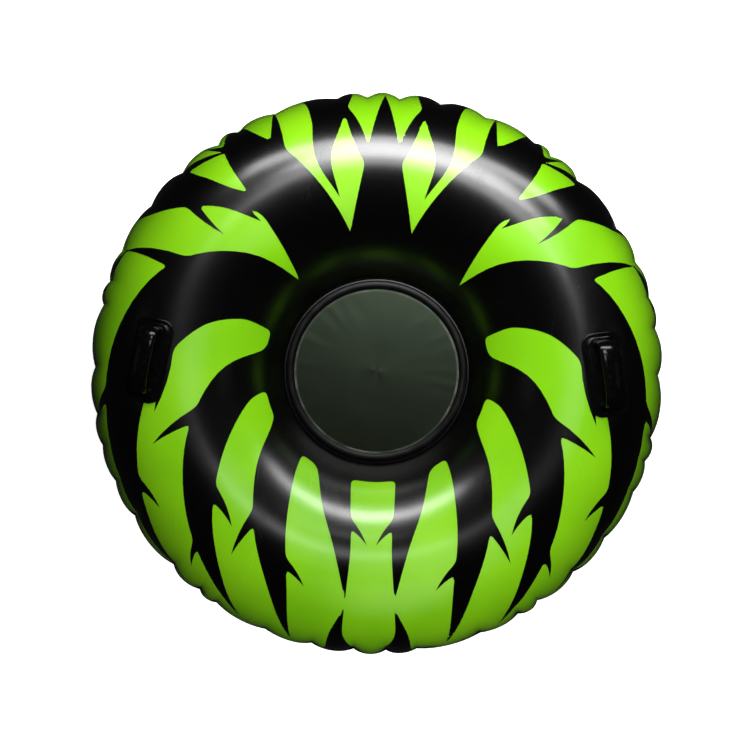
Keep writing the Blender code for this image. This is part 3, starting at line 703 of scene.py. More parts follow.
def inside_paths(x, y, paths):
    """How far points lie inside the widest of some tapered paths, below 0 outside."""
    best = np.full(x.shape, -1.0)
    for path in paths:
        for start, end in zip(path[:-1], path[1:]):
            run = end[:2] - start[:2]
            share = ((x - start[0]) * run[0] + (y - start[1]) * run[1]) / max(run @ run, 1e-9)
            share = np.clip(share, 0, 1)
            away = np.hypot(x - start[0] - share * run[0], y - start[1] - share * run[1])
            best = np.maximum(best, start[2] * (1 - share) + end[2] * share - away)
    return best


def soft_most(first, second, reach):
    """The greater of two values, rounded off where they are within reach of each other."""
    share = np.clip(0.5 + 0.5 * (first - second) / reach, 0, 1)
    return second * (1 - share) + first * share + reach * share * (1 - share)


def stroke_paths():
    """Paths of the right half's strokes, and of their thorns."""
    paths = [smooth_path(points) for points, _ in STROKES]
    barbs = []
    for path, (_, given) in zip(paths, STROKES):
        barbs += [barb_path(path, *barb) for barb in given]
    return paths, barbs


def thin_end(path):
    """The last part of a tapered path, where it is thin, carried on past its tip."""
    start = max(int(np.argmax(path[:, 2] < TIP_WIDTH)) - 1, 0)
    run = path[-1] - path[-2]
    beyond = path[-1] + run / np.hypot(*run[:2]) * TIP_EXTENSION
    return np.vstack([path[start:], beyond])


def sharp_tips(x, y):
    """Signed offset of points from the nearest thin end of a stroke, and its half width there.

    Both change smoothly across the middle of a tip, which so stays sharp where it is thinner
    than the spaces between the points of the sheet.
    """
    nearest = np.full(x.shape, TIP_REACH)
    rival = np.full(x.shape, TIP_REACH)
    offset = np.zeros(x.shape)
    width = np.full(x.shape, -1.0)
    ends = [thin_end(path) for group in stroke_paths() for path in group]
    ends += [end * (-1, 1, 1) for end in ends if np.abs(end[:, 0]).max() > TIP_WIDTH / 4]
    for end in ends:
        low = end[:, :2].min(0) - TIP_REACH
        high = end[:, :2].max(0) + TIP_REACH
        near = np.nonzero((x > low[0]) & (x < high[0]) & (y > low[1]) & (y < high[1]))
        closest = np.full(len(near[0]), TIP_REACH)
        across = np.zeros(len(closest))
        half = np.full(len(closest), -1.0)
        for start, stop in zip(end[:-1], end[1:]):
            run = stop[:2] - start[:2]
            length = np.hypot(*run)
            ahead = x[near] - start[0], y[near] - start[1]
            share = np.clip((ahead[0] * run[0] + ahead[1] * run[1]) / length**2, 0, 1)
            away = np.hypot(ahead[0] - share * run[0], ahead[1] - share * run[1])
            closer = away < closest
            closest = np.where(closer, away, closest)
            across = np.where(closer, (run[0] * ahead[1] - run[1] * ahead[0]) / length, across)
            half = np.where(closer, start[2] * (1 - share) + stop[2] * share, half)
        closer = closest < nearest[near]
        rival[near] = np.where(closer, nearest[near], np.minimum(rival[near], closest))
        nearest[near] = np.where(closer, closest, nearest[near])
        offset[near] = np.where(closer, across, offset[near])
        width[near] = np.where(closer, half, width[near])
    contested = rival < np.minimum(nearest + RIVAL_GAP, TIP_REACH)
    width[contested | (nearest > TIP_CLAIM)] = -1.0
    scale = INNER_SEAM_RADIUS + SECTION_LENGTH
    return offset * scale, width * scale


def print_field(x, y):
    """How far points of the flat sheet lie inside the dark print, with the painted shade along the
    lower rim added, in metres.
    """
    paths, barbs = stroke_paths()
    sides = []
    for mirrored in (np.abs(x), -np.abs(x)):
        body = inside_paths(mirrored, y, paths)
        sides.append(soft_most(body, inside_paths(mirrored, y, barbs), BARB_BLEND))
    reach = np.hypot(x, y)
    both = soft_most(np.maximum(*sides), SEAT_RING - reach, SEAT_RING_BLEND)
    # Painted shade: a dark edge along the rim, kept off the upper rim, which faces the lamps.
    shift = RIM_SHADE_SHIFT * soft_step(y, *RIM_SHADE_SPAN)
    both = np.maximum(both, reach - RIM_SHADE_START - shift)
    return both * (INNER_SEAM_RADIUS + SECTION_LENGTH)


# Pads, grips and valve parts


def pad_outline(inset):
    """The pad's outline moved in by some distance, always with as many points."""
    corner = max(PAD_CORNER - inset, PAD_LEAST_CORNER)
    wide = PAD_WIDTH / 2 - inset - corner
    long = PAD_LENGTH / 2 - inset - corner
    arcs = []
    for index, centre in enumerate([(wide, long), (-wide, long), (-wide, -long), (wide, -long)]):
        turn = np.radians(np.linspace(90 * index, 90 * index + 90, PAD_CORNER_POINTS))
        arcs.append(np.array(centre) + corner * np.stack([np.cos(turn), np.sin(turn)], -1))
    points = []
    for index, arc in enumerate(arcs):
        count = PAD_SIDE_POINTS if index % 2 else PAD_END_POINTS
        shares = np.linspace(0, 1, count + 2)[1:-1, None]
        points += [arc, arc[-1] * (1 - shares) + arcs[(index + 1) % 4][0] * shares]
    return np.vstack(points)


def ring_solid(rings, closed_rows=False):
    """(points, faces) of rings of points, closed into a loop of rings or by a flat face each end."""
    rows, around = rings.shape[:2]
    faces = loop_faces(rows, around, closed_rows).tolist()
    if not closed_rows:
        faces.append(list(range(around)))
        faces.append(list(range((rows - 1) * around, rows * around)))
    return rings, faces


def round_rings(profile, segments, lobes=0, lobe_depth=0.0, lobes_from=0.0):
    """Rings of points of a (radius, height) outline turned about Z.

    Points further out than `lobes_from` are drawn in between the lobes of a finger grip.
    """
    turn = np.linspace(0, 2 * math.pi, segments, endpoint=False)
    profile = np.array(profile)
    radius = np.repeat(profile[:, :1], segments, 1)
    dent = lobe_depth * (0.5 - 0.5 * np.cos(lobes * turn)) ** 2
    radius = radius - np.where(radius > lobes_from, dent, 0)
    height = np.repeat(profile[:, 1:], segments, 1)
    return np.stack([radius * np.cos(turn), radius * np.sin(turn), height], -1)


def on_skin_rings(rings, side, origin, axes):
    """Flat rings laid on the skin, each point at its own height out of it."""
    flat = origin + rings[..., :2] @ axes[:2]
    met = onto_skin(flat, axes[2], side)
    return met + skin_normals(met, side) * rings[..., 2:]


def signed_power(values, power):
    return np.sign(values) * np.abs(values) ** power


def grip_line():
    """Centre line of the grip, as (along, height) points evenly far apart."""
    turn = np.linspace(0, math.pi, GRIP_TRACE_POINTS)
    along = signed_power(np.cos(turn), GRIP_ARCH_POWER) * GRIP_SPAN / 2
    high = (FINGER_GAP + GRIP_THICKNESS / 2) * np.maximum(np.sin(turn), 0) ** GRIP_ARCH_POWER
    line = np.stack([along, high], -1)
    line = np.vstack([[GRIP_SPAN / 2, -GRIP_ROOT], line, [-GRIP_SPAN / 2, -GRIP_ROOT]])
    reach = np.concatenate([[0], np.cumsum(np.hypot(*np.diff(line, axis=0).T))])
    places = np.linspace(0, reach[-1], GRIP_ROWS)
    return np.stack([np.interp(places, reach, line[:, axis]) for axis in (0, 1)], -1)


def grip_rings():
    """The arched bar in the handle's own axes: across, along and out of the skin."""
    line = grip_line()
    ahead = np.gradient(line, axis=0)
    ahead /= np.linalg.norm(ahead, axis=1, keepdims=True)
    for _ in range(GRIP_EASE_ROUNDS):
        ahead[1:-1] = (ahead[:-2] + 2 * ahead[1:-1] + ahead[2:]) / 4
        ahead /= np.linalg.norm(ahead, axis=1, keepdims=True)
    turn = 2 * math.pi * (np.arange(GRIP_SIDES) + 0.5) / GRIP_SIDES
    across = signed_power(np.cos(turn), GRIP_SECTION_POWER) * GRIP_WIDTH / 2
    thick = signed_power(np.sin(turn), GRIP_SECTION_POWER) * GRIP_THICKNESS / 2
    height = np.maximum(line[:, 1], 0)
    low = np.maximum(1 - height / FINGER_GAP, 0)
    size = 1 + GRIP_FOOT_FLARE * low**2 + GRIP_TOE_FLARE * np.exp(-height / GRIP_TOE_HEIGHT)
    x = size[:, None] * across
    y = line[:, :1] + size[:, None] * thick * ahead[:, 1:]
    z = line[:, 1:] - size[:, None] * thick * ahead[:, :1]
    return np.stack([x, y, z + CLEARANCE + PAD_THICKNESS], -1)


# Shader nodes


def new_group(name, inputs, outputs):
    """An empty node group with named number sockets, and its input and output nodes."""
    tree = bpy.data.node_groups.new(name, "ShaderNodeTree")
    for label, default in inputs.items():
        socket = tree.interface.new_socket(label, in_out="INPUT", socket_type="NodeSocketFloat")
        socket.default_value = default
    for label in outputs:
        tree.interface.new_socket(label, in_out="OUTPUT", socket_type="NodeSocketFloat")
    return tree, tree.nodes.new("NodeGroupInput"), tree.nodes.new("NodeGroupOutput")


def add_node(tree, kind, inputs=None, **settings):
    """A node with its settings made and its inputs set to values or linked to sockets."""
    node = tree.nodes.new(kind)
    for key, value in settings.items():
        setattr(node, key, value)
    for key, value in (inputs or {}).items():
        if isinstance(value, bpy.types.NodeSocket):
            tree.links.new(value, node.inputs[key])
        else:
            node.inputs[key].default_value = value
    return node


def maths(tree, operation, first, second=0.0, third=0.0):
    inputs = {0: first, 1: second, 2: third}
    return add_node(tree, "ShaderNodeMath", inputs, operation=operation).outputs[0]


def noise(tree, place, scale, detail=2.0, roughness=0.5, distortion=0.0):
    inputs = {"Vector": place, "Scale": scale, "Detail": detail}
    inputs |= {"Roughness": roughness, "Distortion": distortion}
    return add_node(tree, "ShaderNodeTexNoise", inputs).outputs["Fac"]


def stepped(tree, value, low, high):
    """A value brought to 0 below low and 1 above high, with a soft step between."""
    inputs = {"Value": value, "From Min": low, "From Max": high}
    step = add_node(tree, "ShaderNodeMapRange", inputs, interpolation_type="SMOOTHSTEP")
    return step.outputs["Result"]


def mixed(tree, share, first, second):
    """Two colours mixed by a share."""
    inputs = {0: share, 6: first, 7: second}
    return add_node(tree, "ShaderNodeMix", inputs, data_type="RGBA").outputs[2]


def object_place(tree):
    return add_node(tree, "ShaderNodeTexCoord").outputs["Object"]


def soft_sheet_group():
    """Slow ripples, fine grain and rubbed streaks of blown-up plastic sheet."""
    inputs = {"Ripple Height": 0.0007, "Ripple Scale": 9.0, "Grain Height": 0.00001}
    tree, given, made = new_group("Soft Sheet", inputs, ["Height", "Streaks", "Cloud"])
    place = object_place(tree)
    ripple = noise(tree, place, given.outputs["Ripple Scale"], 1.5, roughness=0.45, distortion=0.3)
    grain = noise(tree, place, 500.0)
    ripple = maths(tree, "MULTIPLY", ripple, given.outputs["Ripple Height"])
    height = maths(tree, "MULTIPLY_ADD", grain, given.outputs["Grain Height"], ripple)
    tree.links.new(height, made.inputs["Height"])
    drawn = add_node(tree, "ShaderNodeMapping", {"Vector": place, "Scale": (1.0, 0.22, 0.6)})
    streak = noise(tree, drawn.outputs[0], 20.0, 5.0, roughness=0.68, distortion=0.8)
    tree.links.new(stepped(tree, streak, 0.52, 0.74), made.inputs["Streaks"])
    tree.links.new(noise(tree, place, 4.0, 3.0), made.inputs["Cloud"])
    return tree


def dust_group():
    """Specks and a thin haze of dust that lie on faces that look up."""
    tree, given, made = new_group("Dust", {"Amount": 0.002, "Speck Scale": 400.0}, ["Mask"])
    place = object_place(tree)
    normal = add_node(tree, "ShaderNodeNewGeometry").outputs["Normal"]
    upward = add_node(tree, "ShaderNodeSeparateXYZ", {0: normal}).outputs["Z"]
    specks = stepped(tree, noise(tree, place, given.outputs["Speck Scale"]), 0.68, 0.76)
    haze = stepped(tree, noise(tree, place, 14.0, 4.0, roughness=0.6), 0.45, 0.75)
    both = maths(tree, "MULTIPLY_ADD", haze, 0.35, specks)
    lying = maths(tree, "MULTIPLY", both, stepped(tree, upward, 0.1, 0.8))
    tree.links.new(maths(tree, "MULTIPLY", lying, given.outputs["Amount"]), made.inputs["Mask"])
    return tree


def moulded_group():
    """Fine spark texture, sink marks and light handling wear of moulded plastic and rubber."""
    inputs = {"Texture Height": 0.00003, "Texture Scale": 1400.0, "Sink Height": 0.0001}
    tree, given, made = new_group("Moulded", inputs, ["Height", "Wear"])
    place = object_place(tree)
    fine = noise(tree, place, given.outputs["Texture Scale"], roughness=0.7)
    sink = noise(tree, place, 60.0, 1.0, roughness=0.4)
    sink = maths(tree, "MULTIPLY", sink, given.outputs["Sink Height"])
    height = maths(tree, "MULTIPLY_ADD", fine, given.outputs["Texture Height"], sink)
    tree.links.new(height, made.inputs["Height"])
    wear = noise(tree, place, 130.0, 6.0, roughness=0.7, distortion=0.6)
    tree.links.new(stepped(tree, wear, 0.5, 0.78), made.inputs["Wear"])
    return tree


def placed_group(tree, name, maker, **inputs):
    """A shared group's node with values of its own. The group is made when it is first needed."""
    node = tree.nodes.new("ShaderNodeGroup")
    node.node_tree = bpy.data.node_groups.get(name) or maker()
    for key, value in inputs.items():
        node.inputs[key.replace("_", " ")].default_value = value
    return node.outputs


# Materials

GREY_DUST = (0.4, 0.4, 0.38, 1.0)
PALE_DUST = (0.5, 0.5, 0.46, 1.0)
SCUFF_COLOUR = (0.004, 0.004, 0.004, 1.0)
# Painted sheen of the weld line round the disc: its darker and its lighter spots.
WELD_SHEEN_COLOURS = ((0.012, 0.013, 0.011, 1.0), (0.05, 0.053, 0.048, 1.0))
DEEP_GROUND_SHARES = (0.78, 0.86, 0.7)  # of the ground colour's red, green and blue
DARK_SEAT_SHARE = 0.72
WELD_EDGE = 0.0004
WEAR_GAIN = 1.7
WEAR_LIFT = 0.003
SMALL_SPECK_SCALE = 900.0


def opaque(colour):
    return (*colour, 1.0)


def new_material(name, **values):
    """A material with its shader's plain values set. Returns it, its tree and the shader."""
    material = bpy.data.materials.new(name)
    material.use_nodes = True
    tree = material.node_tree
    shader = tree.nodes["Principled BSDF"]
    for key, value in values.items():
        shader.inputs[key.replace("_", " ")].default_value = value
    return material, tree, shader


def finish_surface(tree, shader, colour, height, wear, clean, worn, dust_colour, **dust):
    """Dust over the colour, a roughness between two values by wear, and bumps."""
    dusty = placed_group(tree, "Dust", dust_group, **dust)["Mask"]
    tree.links.new(mixed(tree, dusty, colour, dust_colour), shader.inputs["Base Color"])
    inputs = {"Value": wear, "To Min": clean, "To Max": worn}
    roughness = add_node(tree, "ShaderNodeMapRange", inputs).outputs["Result"]
    tree.links.new(roughness, shader.inputs["Roughness"])
    bumps = add_node(tree, "ShaderNodeBump", {"Height": height, "Strength": 1.0, "Distance": 1.0})
    tree.links.new(bumps.outputs[0], shader.inputs["Normal"])


def printed_vinyl(look):
    """Glossy sheet with a crisp dark print and a painted shade along the lower rim, from the
    distance kept on the sheet's points.
    """
    values = {"Specular_IOR_Level": 0.3, "Coat_Weight": 1.0, "Coat_Roughness": 0.24}
    material, tree, shader = new_material("Printed Vinyl", **values)
    sheet = placed_group(tree, "Soft Sheet", soft_sheet_group)
    kept = []
    for name in (PRINT_AND_SHADE_ATTRIBUTE, TIP_OFFSET_ATTRIBUTE, TIP_WIDTH_ATTRIBUTE):
        node = add_node(tree, "ShaderNodeAttribute", attribute_name=name)
        kept.append(node.outputs["Fac"])
    inside, offset, width = kept
    tip = maths(tree, "SUBTRACT", width, maths(tree, "ABSOLUTE", offset))
    inside = maths(tree, "MAXIMUM", inside, tip)
    ink_and_shade_mask = stepped(tree, inside, -PRINT_EDGE, PRINT_EDGE)
    deep = tuple(part * share for part, share in zip(look.ground_colour, DEEP_GROUND_SHARES))
    cloud = stepped(tree, sheet["Cloud"], 0.35, 0.7)
    ground = mixed(tree, cloud, opaque(deep), opaque(look.ground_colour))
    # The ink colour paints the print and the painted shade along the lower rim.
    colour = mixed(tree, ink_and_shade_mask, ground, opaque(look.ink_and_shade_colour))
    finish_surface(tree, shader, colour, sheet["Height"], sheet["Streaks"], 0.2, 0.3, PALE_DUST)
    return material


def black_vinyl(look, name="Black Vinyl", coat=0.8, specular=0.3, clean=0.24, worn=0.36):
    """Plain black sheet, a little scuffed."""
    values = {"Specular_IOR_Level": specular, "Coat_Weight": coat, "Coat_Roughness": 0.22}
    material, tree, shader = new_material(name, **values)
    sheet = placed_group(tree, "Soft Sheet", soft_sheet_group)
    colour = mixed(tree, sheet["Streaks"], opaque(look.black_colour), SCUFF_COLOUR)
    finish_surface(tree, shader, colour, sheet["Height"], sheet["Streaks"], clean, worn, GREY_DUST)
    return material


def welt_vinyl(look):
    """The black sheet of the welt, rubbed dull by the heat of the weld."""
    return black_vinyl(look, "Welt Vinyl", coat=0.0, specular=0.22, clean=0.4, worn=0.5)


def satin_disc_vinyl(look):
    """Satin charcoal sheet. The weld line at its edge is painted lighter as a painted sheen, lighter
    still in uneven spots that are painted glints.
    """
    # Painted reflection: the sheen of the disc is tinted green.
    material, tree, shader = new_material("Satin Disc Vinyl", Specular_Tint=(0.72, 1.0, 0.68, 1.0))
    values = {"Ripple_Height": 0.0005, "Ripple_Scale": 14.0, "Grain_Height": 0.00005}
    sheet = placed_group(tree, "Soft Sheet", soft_sheet_group, **values)
    place = object_place(tree)
    parts = add_node(tree, "ShaderNodeSeparateXYZ", {0: place}).outputs
    flat = add_node(tree, "ShaderNodeCombineXYZ", {0: parts[0], 1: parts[1]}).outputs[0]
    length = add_node(tree, "ShaderNodeVectorMath", {0: flat}, operation="LENGTH")
    reach = length.outputs["Value"]
    # Painted sheen: the weld line is painted lighter, and lighter still in spots that stand in for
    # glints.
    weld = stepped(tree, reach, SEAT_WELD_RADIUS - WELD_EDGE, SEAT_WELD_RADIUS + WELD_EDGE)
    glint_spots = stepped(tree, noise(tree, place, 26.0, 4.0, roughness=0.6), 0.4, 0.68)
    weld_sheen = mixed(tree, glint_spots, *WELD_SHEEN_COLOURS)
    charcoal = opaque(part * DARK_SEAT_SHARE for part in look.seat_colour)
    even = mixed(tree, sheet["Cloud"], charcoal, opaque(look.seat_colour))
    colour = mixed(tree, weld, even, weld_sheen)
    finish_surface(tree, shader, colour, sheet["Height"], sheet["Streaks"], 0.32, 0.38, GREY_DUST)
    return material


def moulded_plastic(name, colour, specular, clean, worn, texture, dusty):
    """Moulded plastic or rubber, with its texture and handling wear."""
    material, tree, shader = new_material(name, Specular_IOR_Level=specular)
    mould = placed_group(tree, "Moulded", moulded_group, Texture_Height=texture)
    lighter = opaque(part * WEAR_GAIN + WEAR_LIFT for part in colour)
    mix = mixed(tree, mould["Wear"], opaque(colour), lighter)
    dust = {"Amount": dusty, "Speck_Scale": SMALL_SPECK_SCALE}
    finish_surface(tree, shader, mix, mould["Height"], mould["Wear"], clean, worn, GREY_DUST, **dust)
    return material


def handle_moulding(look):
    return moulded_plastic("Handle Moulding", look.handle_colour, 0.28, 0.15, 0.24, 0.000004, 0.003)


def valve_moulding(look):
    return moulded_plastic("Valve Moulding", look.valve_colour, 0.5, 0.34, 0.46, 0.00002, 0.05)


def soft_rubber(look):
    return moulded_plastic("Soft Rubber", look.rubber_colour, 0.4, 0.6, 0.75, 0.00003, 0.08)


def floor_paint(stage):
    """Matt pale paint that only the camera sees, from above. Lamps shine through it from below."""
    material = bpy.data.materials.new("Floor Paint")
    material.use_nodes = True
    tree = material.node_tree
    tree.nodes.clear()
    shade = opaque(part * FLOOR_SHADE for part in stage.floor_colour)
    pale = mixed(tree, noise(tree, object_place(tree), 1.3, 3.0), shade, opaque(stage.floor_colour))
    paint = add_node(tree, "ShaderNodeBsdfDiffuse", {"Color": pale}).outputs[0]
    glow = add_node(tree, "ShaderNodeEmission", {"Color": pale, "Strength": FLOOR_GLOW}).outputs[0]
    lifted = add_node(tree, "ShaderNodeAddShader", {0: paint, 1: glow}).outputs[0]
    clear = add_node(tree, "ShaderNodeBsdfTransparent").outputs[0]
    seen = add_node(tree, "ShaderNodeLightPath").outputs["Is Camera Ray"]
    behind = add_node(tree, "ShaderNodeNewGeometry").outputs["Backfacing"]
    shown = maths(tree, "SUBTRACT", seen, behind)
    both = add_node(tree, "ShaderNodeMixShader", {0: shown, 1: clear, 2: lifted}).outputs[0]
    add_node(tree, "ShaderNodeOutputMaterial", {"Surface": both})
    return material


MATERIAL_MAKERS = {
    "Printed Vinyl": printed_vinyl,
    "Black Vinyl": black_vinyl,
    "Welt Vinyl": welt_vinyl,
    "Satin Disc Vinyl": satin_disc_vinyl,
    "Handle Moulding": handle_moulding,
    "Valve Moulding": valve_moulding,
    "Soft Rubber": soft_rubber,
}


def material_named(name):
    """The material of that name, made the first time that it is needed."""
    look = bpy.context.scene.snow_tube_look
    return bpy.data.materials.get(name) or MATERIAL_MAKERS[name](look)


# Settings


def colour_setting(name, value, description):
    limits = {"size": 3, "min": 0, "max": 1, "subtype": "COLOR"}
    return FloatVectorProperty(name=name, description=description, default=value, **limits)


def length_setting(name, value, description, **limits):
    limits["unit"] = "LENGTH"
    return FloatProperty(name=name, description=description, default=value, **limits)


def power_setting(name, value, description):
    limits = {"min": 0, "unit": "POWER"}
    return FloatProperty(name=name, description=description, default=value, **limits)


def angle_setting(name, degrees, description):
    default = math.radians(degrees)
    return FloatProperty(name=name, description=description, default=default, subtype="ANGLE")


class SnowTubeLook(PropertyGroup):
    """Sizes and colours of the tube that a user may change."""

    ground_colour: colour_setting(
        "Ground colour", (0.175, 0.45, 0.005), "Colour of the top sheet between the stripes"
    )
    # Also the colour of the painted shade along the lower rim.
    ink_and_shade_colour: colour_setting("Ink colour", (0.0003, 0.0002, 0.0003), "Colour of the stripes")
    black_colour: colour_setting(
        "Black sheet", (0.0005, 0.0004, 0.0005), "Colour of the underside and of the welt"
    )
    seat_colour: colour_setting("Seat sheet", (0.0020, 0.0019, 0.0011), "Colour of the disc seat")
    handle_colour: colour_setting(
        "Handles", (0.0008, 0.0008, 0.0009), "Colour of the moulded handles"
    )
    valve_colour: colour_setting(
        "Valve", (0.016, 0.016, 0.018), "Colour of the moulded parts of the valve"
    )
    rubber_colour: colour_setting(
        "Rubber", (0.12, 0.12, 0.12), "Colour of the valve's gasket and flap"
    )
    fold_depth: length_setting(
        "Fold depth",
        0.0065,
        "Depth of the folds that run in from the notches of the outer seam",
        min=0,
        max=0.012,
    )
    fold_length: length_setting(
        "Fold length", 0.040, "How far the folds run in from the outer seam", min=0.01, max=0.12
    )
    pillow_height: length_setting(
        "Pillow height", 0.0024, "How far the sheet swells between two folds", min=0, max=0.008
    )
    collar_lobes: IntProperty(
        name="Collar lobes",
        description="Finger lobes round the valve's collar",
        default=14,
        min=6,
        max=40,
    )


class SnowTubeStage(PropertyGroup):
    """Floor, lamps and camera."""

    floor_colour: colour_setting("Floor colour", (0.93, 0.93, 0.93), "Colour of the plain floor")
    fill_power: power_setting(
        "Fill lamp", 43, "Power of the long lamp above, which lights the colours but isn't mirrored"
    )
    overhead_power: power_setting("Overhead lamp", 1.36, "Power of the softbox above the tube")
    back_power: power_setting("Back lamp", 3.65, "Power of the softbox behind the tube, towards +Y")
    side_power: power_setting("Side lamps", 0.08, "Power of each softbox beside the tube")
    under_power: power_setting(
        "Under lamp", 2.6, "Power of the softbox under the floor, which lights the underside"
    )
    camera_distance: length_setting(
        "Camera distance", 2.79, "Distance of the camera from the middle of the seat", min=1
    )
    camera_tilt: angle_setting(
        "Camera tilt", 2.5, "How far the camera leans towards -Y from straight above"
    )
    camera_roll: angle_setting(
        "Camera roll", 1.8, "Turn of the picture, which shows the tube turned clockwise"
    )
    focal_length: length_setting("Focal length", 0.0685, "Focal length of the camera", min=0.01)


# Pieces


def build_piece(name, parts, material, body, slot, node):
    """One finished piece of (points, faces) parts, on its body in place of its CAD node."""
    piece = joined(name, parts, material_named(material))
    mount_piece(piece, body, slot, node)


def seat_part():
    """The disc: flat, with thin wrinkles that the weld draws in and a little slack in the middle."""
    rim_top = SEAM_LEVEL + DISC_THICKNESS / 2
    bottom = SEAM_LEVEL - DISC_THICKNESS / 2
    face = rim_top + DISC_FACE_RISE
    edge = INNER_SEAM_RADIUS - SHEET_THICKNESS - CLEARANCE
    upper = [(radius, face) for radius in np.linspace(SEAT_CORE_RADIUS, SEAT_OPEN_RADIUS, SEAT_ROWS)]
    lower = [(radius, bottom) for radius in np.linspace(edge, SEAT_CORE_RADIUS, SEAT_ROWS)]
    profile = [*upper, (SEAT_OPEN_RADIUS + DISC_FACE_RISE, rim_top), (edge, rim_top), *lower]
    rings = round_rings(profile, SEAT_SEGMENTS)
    reach = np.hypot(rings[..., 0], rings[..., 1])
    turn = np.arctan2(rings[..., 1], rings[..., 0])
    near = soft_step(reach, *SEAT_WRINKLE_START)
    near = near * (1 - soft_step(reach, SEAT_WRINKLE_END, SEAT_OPEN_RADIUS))
    drawn = np.sin(23 * turn + 2 * np.sin(3 * turn)) * 0.6 + np.sin(37 * turn + 1) * 0.4
    slack = SEAT_SLACK * (1 - soft_step(reach, *SEAT_SLACK_END)) * np.cos(2 * turn + 0.6) / 2
    rings[..., 2] += np.where(reach < SEAT_OPEN_RADIUS, SEAT_WRINKLE * near * drawn + slack, 0)
    return ring_solid(rings)


def welt_part():
    """The rounded band over the join of the disc and the top sheet, a little uneven."""
    base = SEAM_LEVEL + INNER_EDGE_RISE + CLEARANCE
    middle = (INNER_EDGE_RADIUS + WELT_OUTER_RADIUS) / 2
    half = (WELT_OUTER_RADIUS - INNER_EDGE_RADIUS) / 2
    turns = np.linspace(0, math.pi, WELT_ARC_POINTS)
    profile = [(middle - half * math.cos(t), base + WELT_HEIGHT * math.sin(t)) for t in turns]
    foot = np.linspace(WELT_OUTER_RADIUS, INNER_EDGE_RADIUS, WELT_FOOT_POINTS)
    rings = round_rings(profile + [(radius, base) for radius in foot[1:-1]], WELT_SEGMENTS)
    turn = np.arctan2(rings[..., 1], rings[..., 0])
    waves = np.sin(19 * turn + np.sin(5 * turn)) + 0.5 * np.sin(31 * turn + 2)
    rings[..., 2] = base + (rings[..., 2] - base) * (1 + WELT_UNEVENNESS * waves)
    return ring_solid(rings, closed_rows=True)


def plate_part(origin, axes):
    """The handle's plate, which follows the skin."""
    rings = []
    for inset, height in PAD_PROFILE:
        outline = pad_outline(inset)
        rings.append(np.hstack([outline, np.full((len(outline), 1), height)]))
    return ring_solid(on_skin_rings(np.stack(rings), TOP, origin, axes))


def base_part(origin, axes):
    """The valve's flange and neck. The flange's back, at -1 in the profile, follows the patch."""
    rings = round_rings(BASE_PROFILE, VALVE_SEGMENTS)
    flat = origin + rings[..., :2] @ axes[:2]
    skin = (onto_skin(flat, axes[2], UNDERSIDE) - origin) @ axes[2]
    rings[..., 2] = np.where(rings[..., 2] < 0, skin + BASE_SEAT, rings[..., 2])
    return ring_solid(rings, closed_rows=True)


def gasket_part():
    """The round ring between the neck's end and the collar."""
    middle = GASKET_LEVEL + GASKET_WIRE_RADIUS
    reach = BORE_RADIUS + GASKET_WIRE_RADIUS
    wire = []
    for turn in np.linspace(0, 2 * math.pi, GASKET_WIRE_SIDES, endpoint=False):
        out = GASKET_WIRE_RADIUS * math.cos(turn)
        wire.append((reach + out, middle + GASKET_WIRE_RADIUS * math.sin(turn)))
    return ring_solid(round_rings(wire, VALVE_SEGMENTS), closed_rows=True)


def insert_parts(lobes):
    """The threaded sleeve with its lobed collar, and the ear that the cap's strap hangs on."""
    finger_grip = (lobes, COLLAR_LOBE_DEPTH, COLLAR_LOBE_START)
    rings = round_rings(INSERT_PROFILE, VALVE_SEGMENTS * 2, *finger_grip)
    low, high = (-EAR_WIDTH / 2, EAR_START), (EAR_WIDTH / 2, EAR_REACH)
    ear = rounded_rectangle(low, high, EAR_CORNER)
    return [
        ring_solid(rings, closed_rows=True),
        slab_part(ear, COLLAR_BASE + EAR_LIFT, COLLAR_TOP - EAR_DROP, EAR_EDGE),
    ]


def flap_part():
    """The round one-way flap under the sleeve's end."""
    turns = np.linspace(0, 2 * math.pi, VALVE_SEGMENTS, endpoint=False)
    outline = FLAP_RADIUS * np.stack([np.cos(turns), np.sin(turns)], -1)
    return slab_part(outline, FLAP_TOP - FLAP_THICKNESS, FLAP_TOP, FLAP_EDGE)


def cap_parts():
    """The lid with its plug, the strap that ends in a finger tab, and the ribs on the tab."""
    low, high = (-STRAP_WIDTH / 2, -TAB_REACH), (STRAP_WIDTH / 2, EAR_REACH)
    strap = rounded_rectangle(low, high, STRAP_CORNER)
    strap_top = LID_BASE + STRAP_THICKNESS
    parts = [
        ring_solid(round_rings(LID_PROFILE, VALVE_SEGMENTS)),
        slab_part(strap, LID_BASE, strap_top, STRAP_EDGE),
    ]
    for rib in TAB_RIBS:
        low = (-TAB_RIB_LENGTH / 2, rib - TAB_RIB_WIDTH / 2)
        high = (TAB_RIB_LENGTH / 2, rib + TAB_RIB_WIDTH / 2)
        outline = rounded_rectangle(low, high, TAB_RIB_CORNER)
        root = strap_top - TAB_RIB_ROOT
        parts.append(slab_part(outline, root, strap_top + TAB_RIB_RISE, TAB_RIB_EDGE))
    return parts


# Stage


def add_floor(stage):
    """A square floor just under the ground level."""
    corners = [(-1, -1), (1, -1), (1, 1), (-1, 1)]
    points = np.array([(x * FLOOR_REACH, y * FLOOR_REACH, -FLOOR_DROP) for x, y in corners])
    floor = mesh_object("studio_floor", points, [[0, 1, 2, 3]], [floor_paint(stage)])


def studio_world(stage):
    """A dim world that the camera sees as bright as the floor."""
    world = bpy.data.worlds.new("Studio")
    world.use_nodes = True
    tree = world.node_tree
    seen = add_node(tree, "ShaderNodeLightPath").outputs["Is Camera Ray"]
    dim = opaque(part * WORLD_STRENGTH for part in stage.floor_colour)
    colour = mixed(tree, seen, dim, opaque(stage.floor_colour))
    tree.links.new(colour, tree.nodes["Background"].inputs["Color"])
    return world


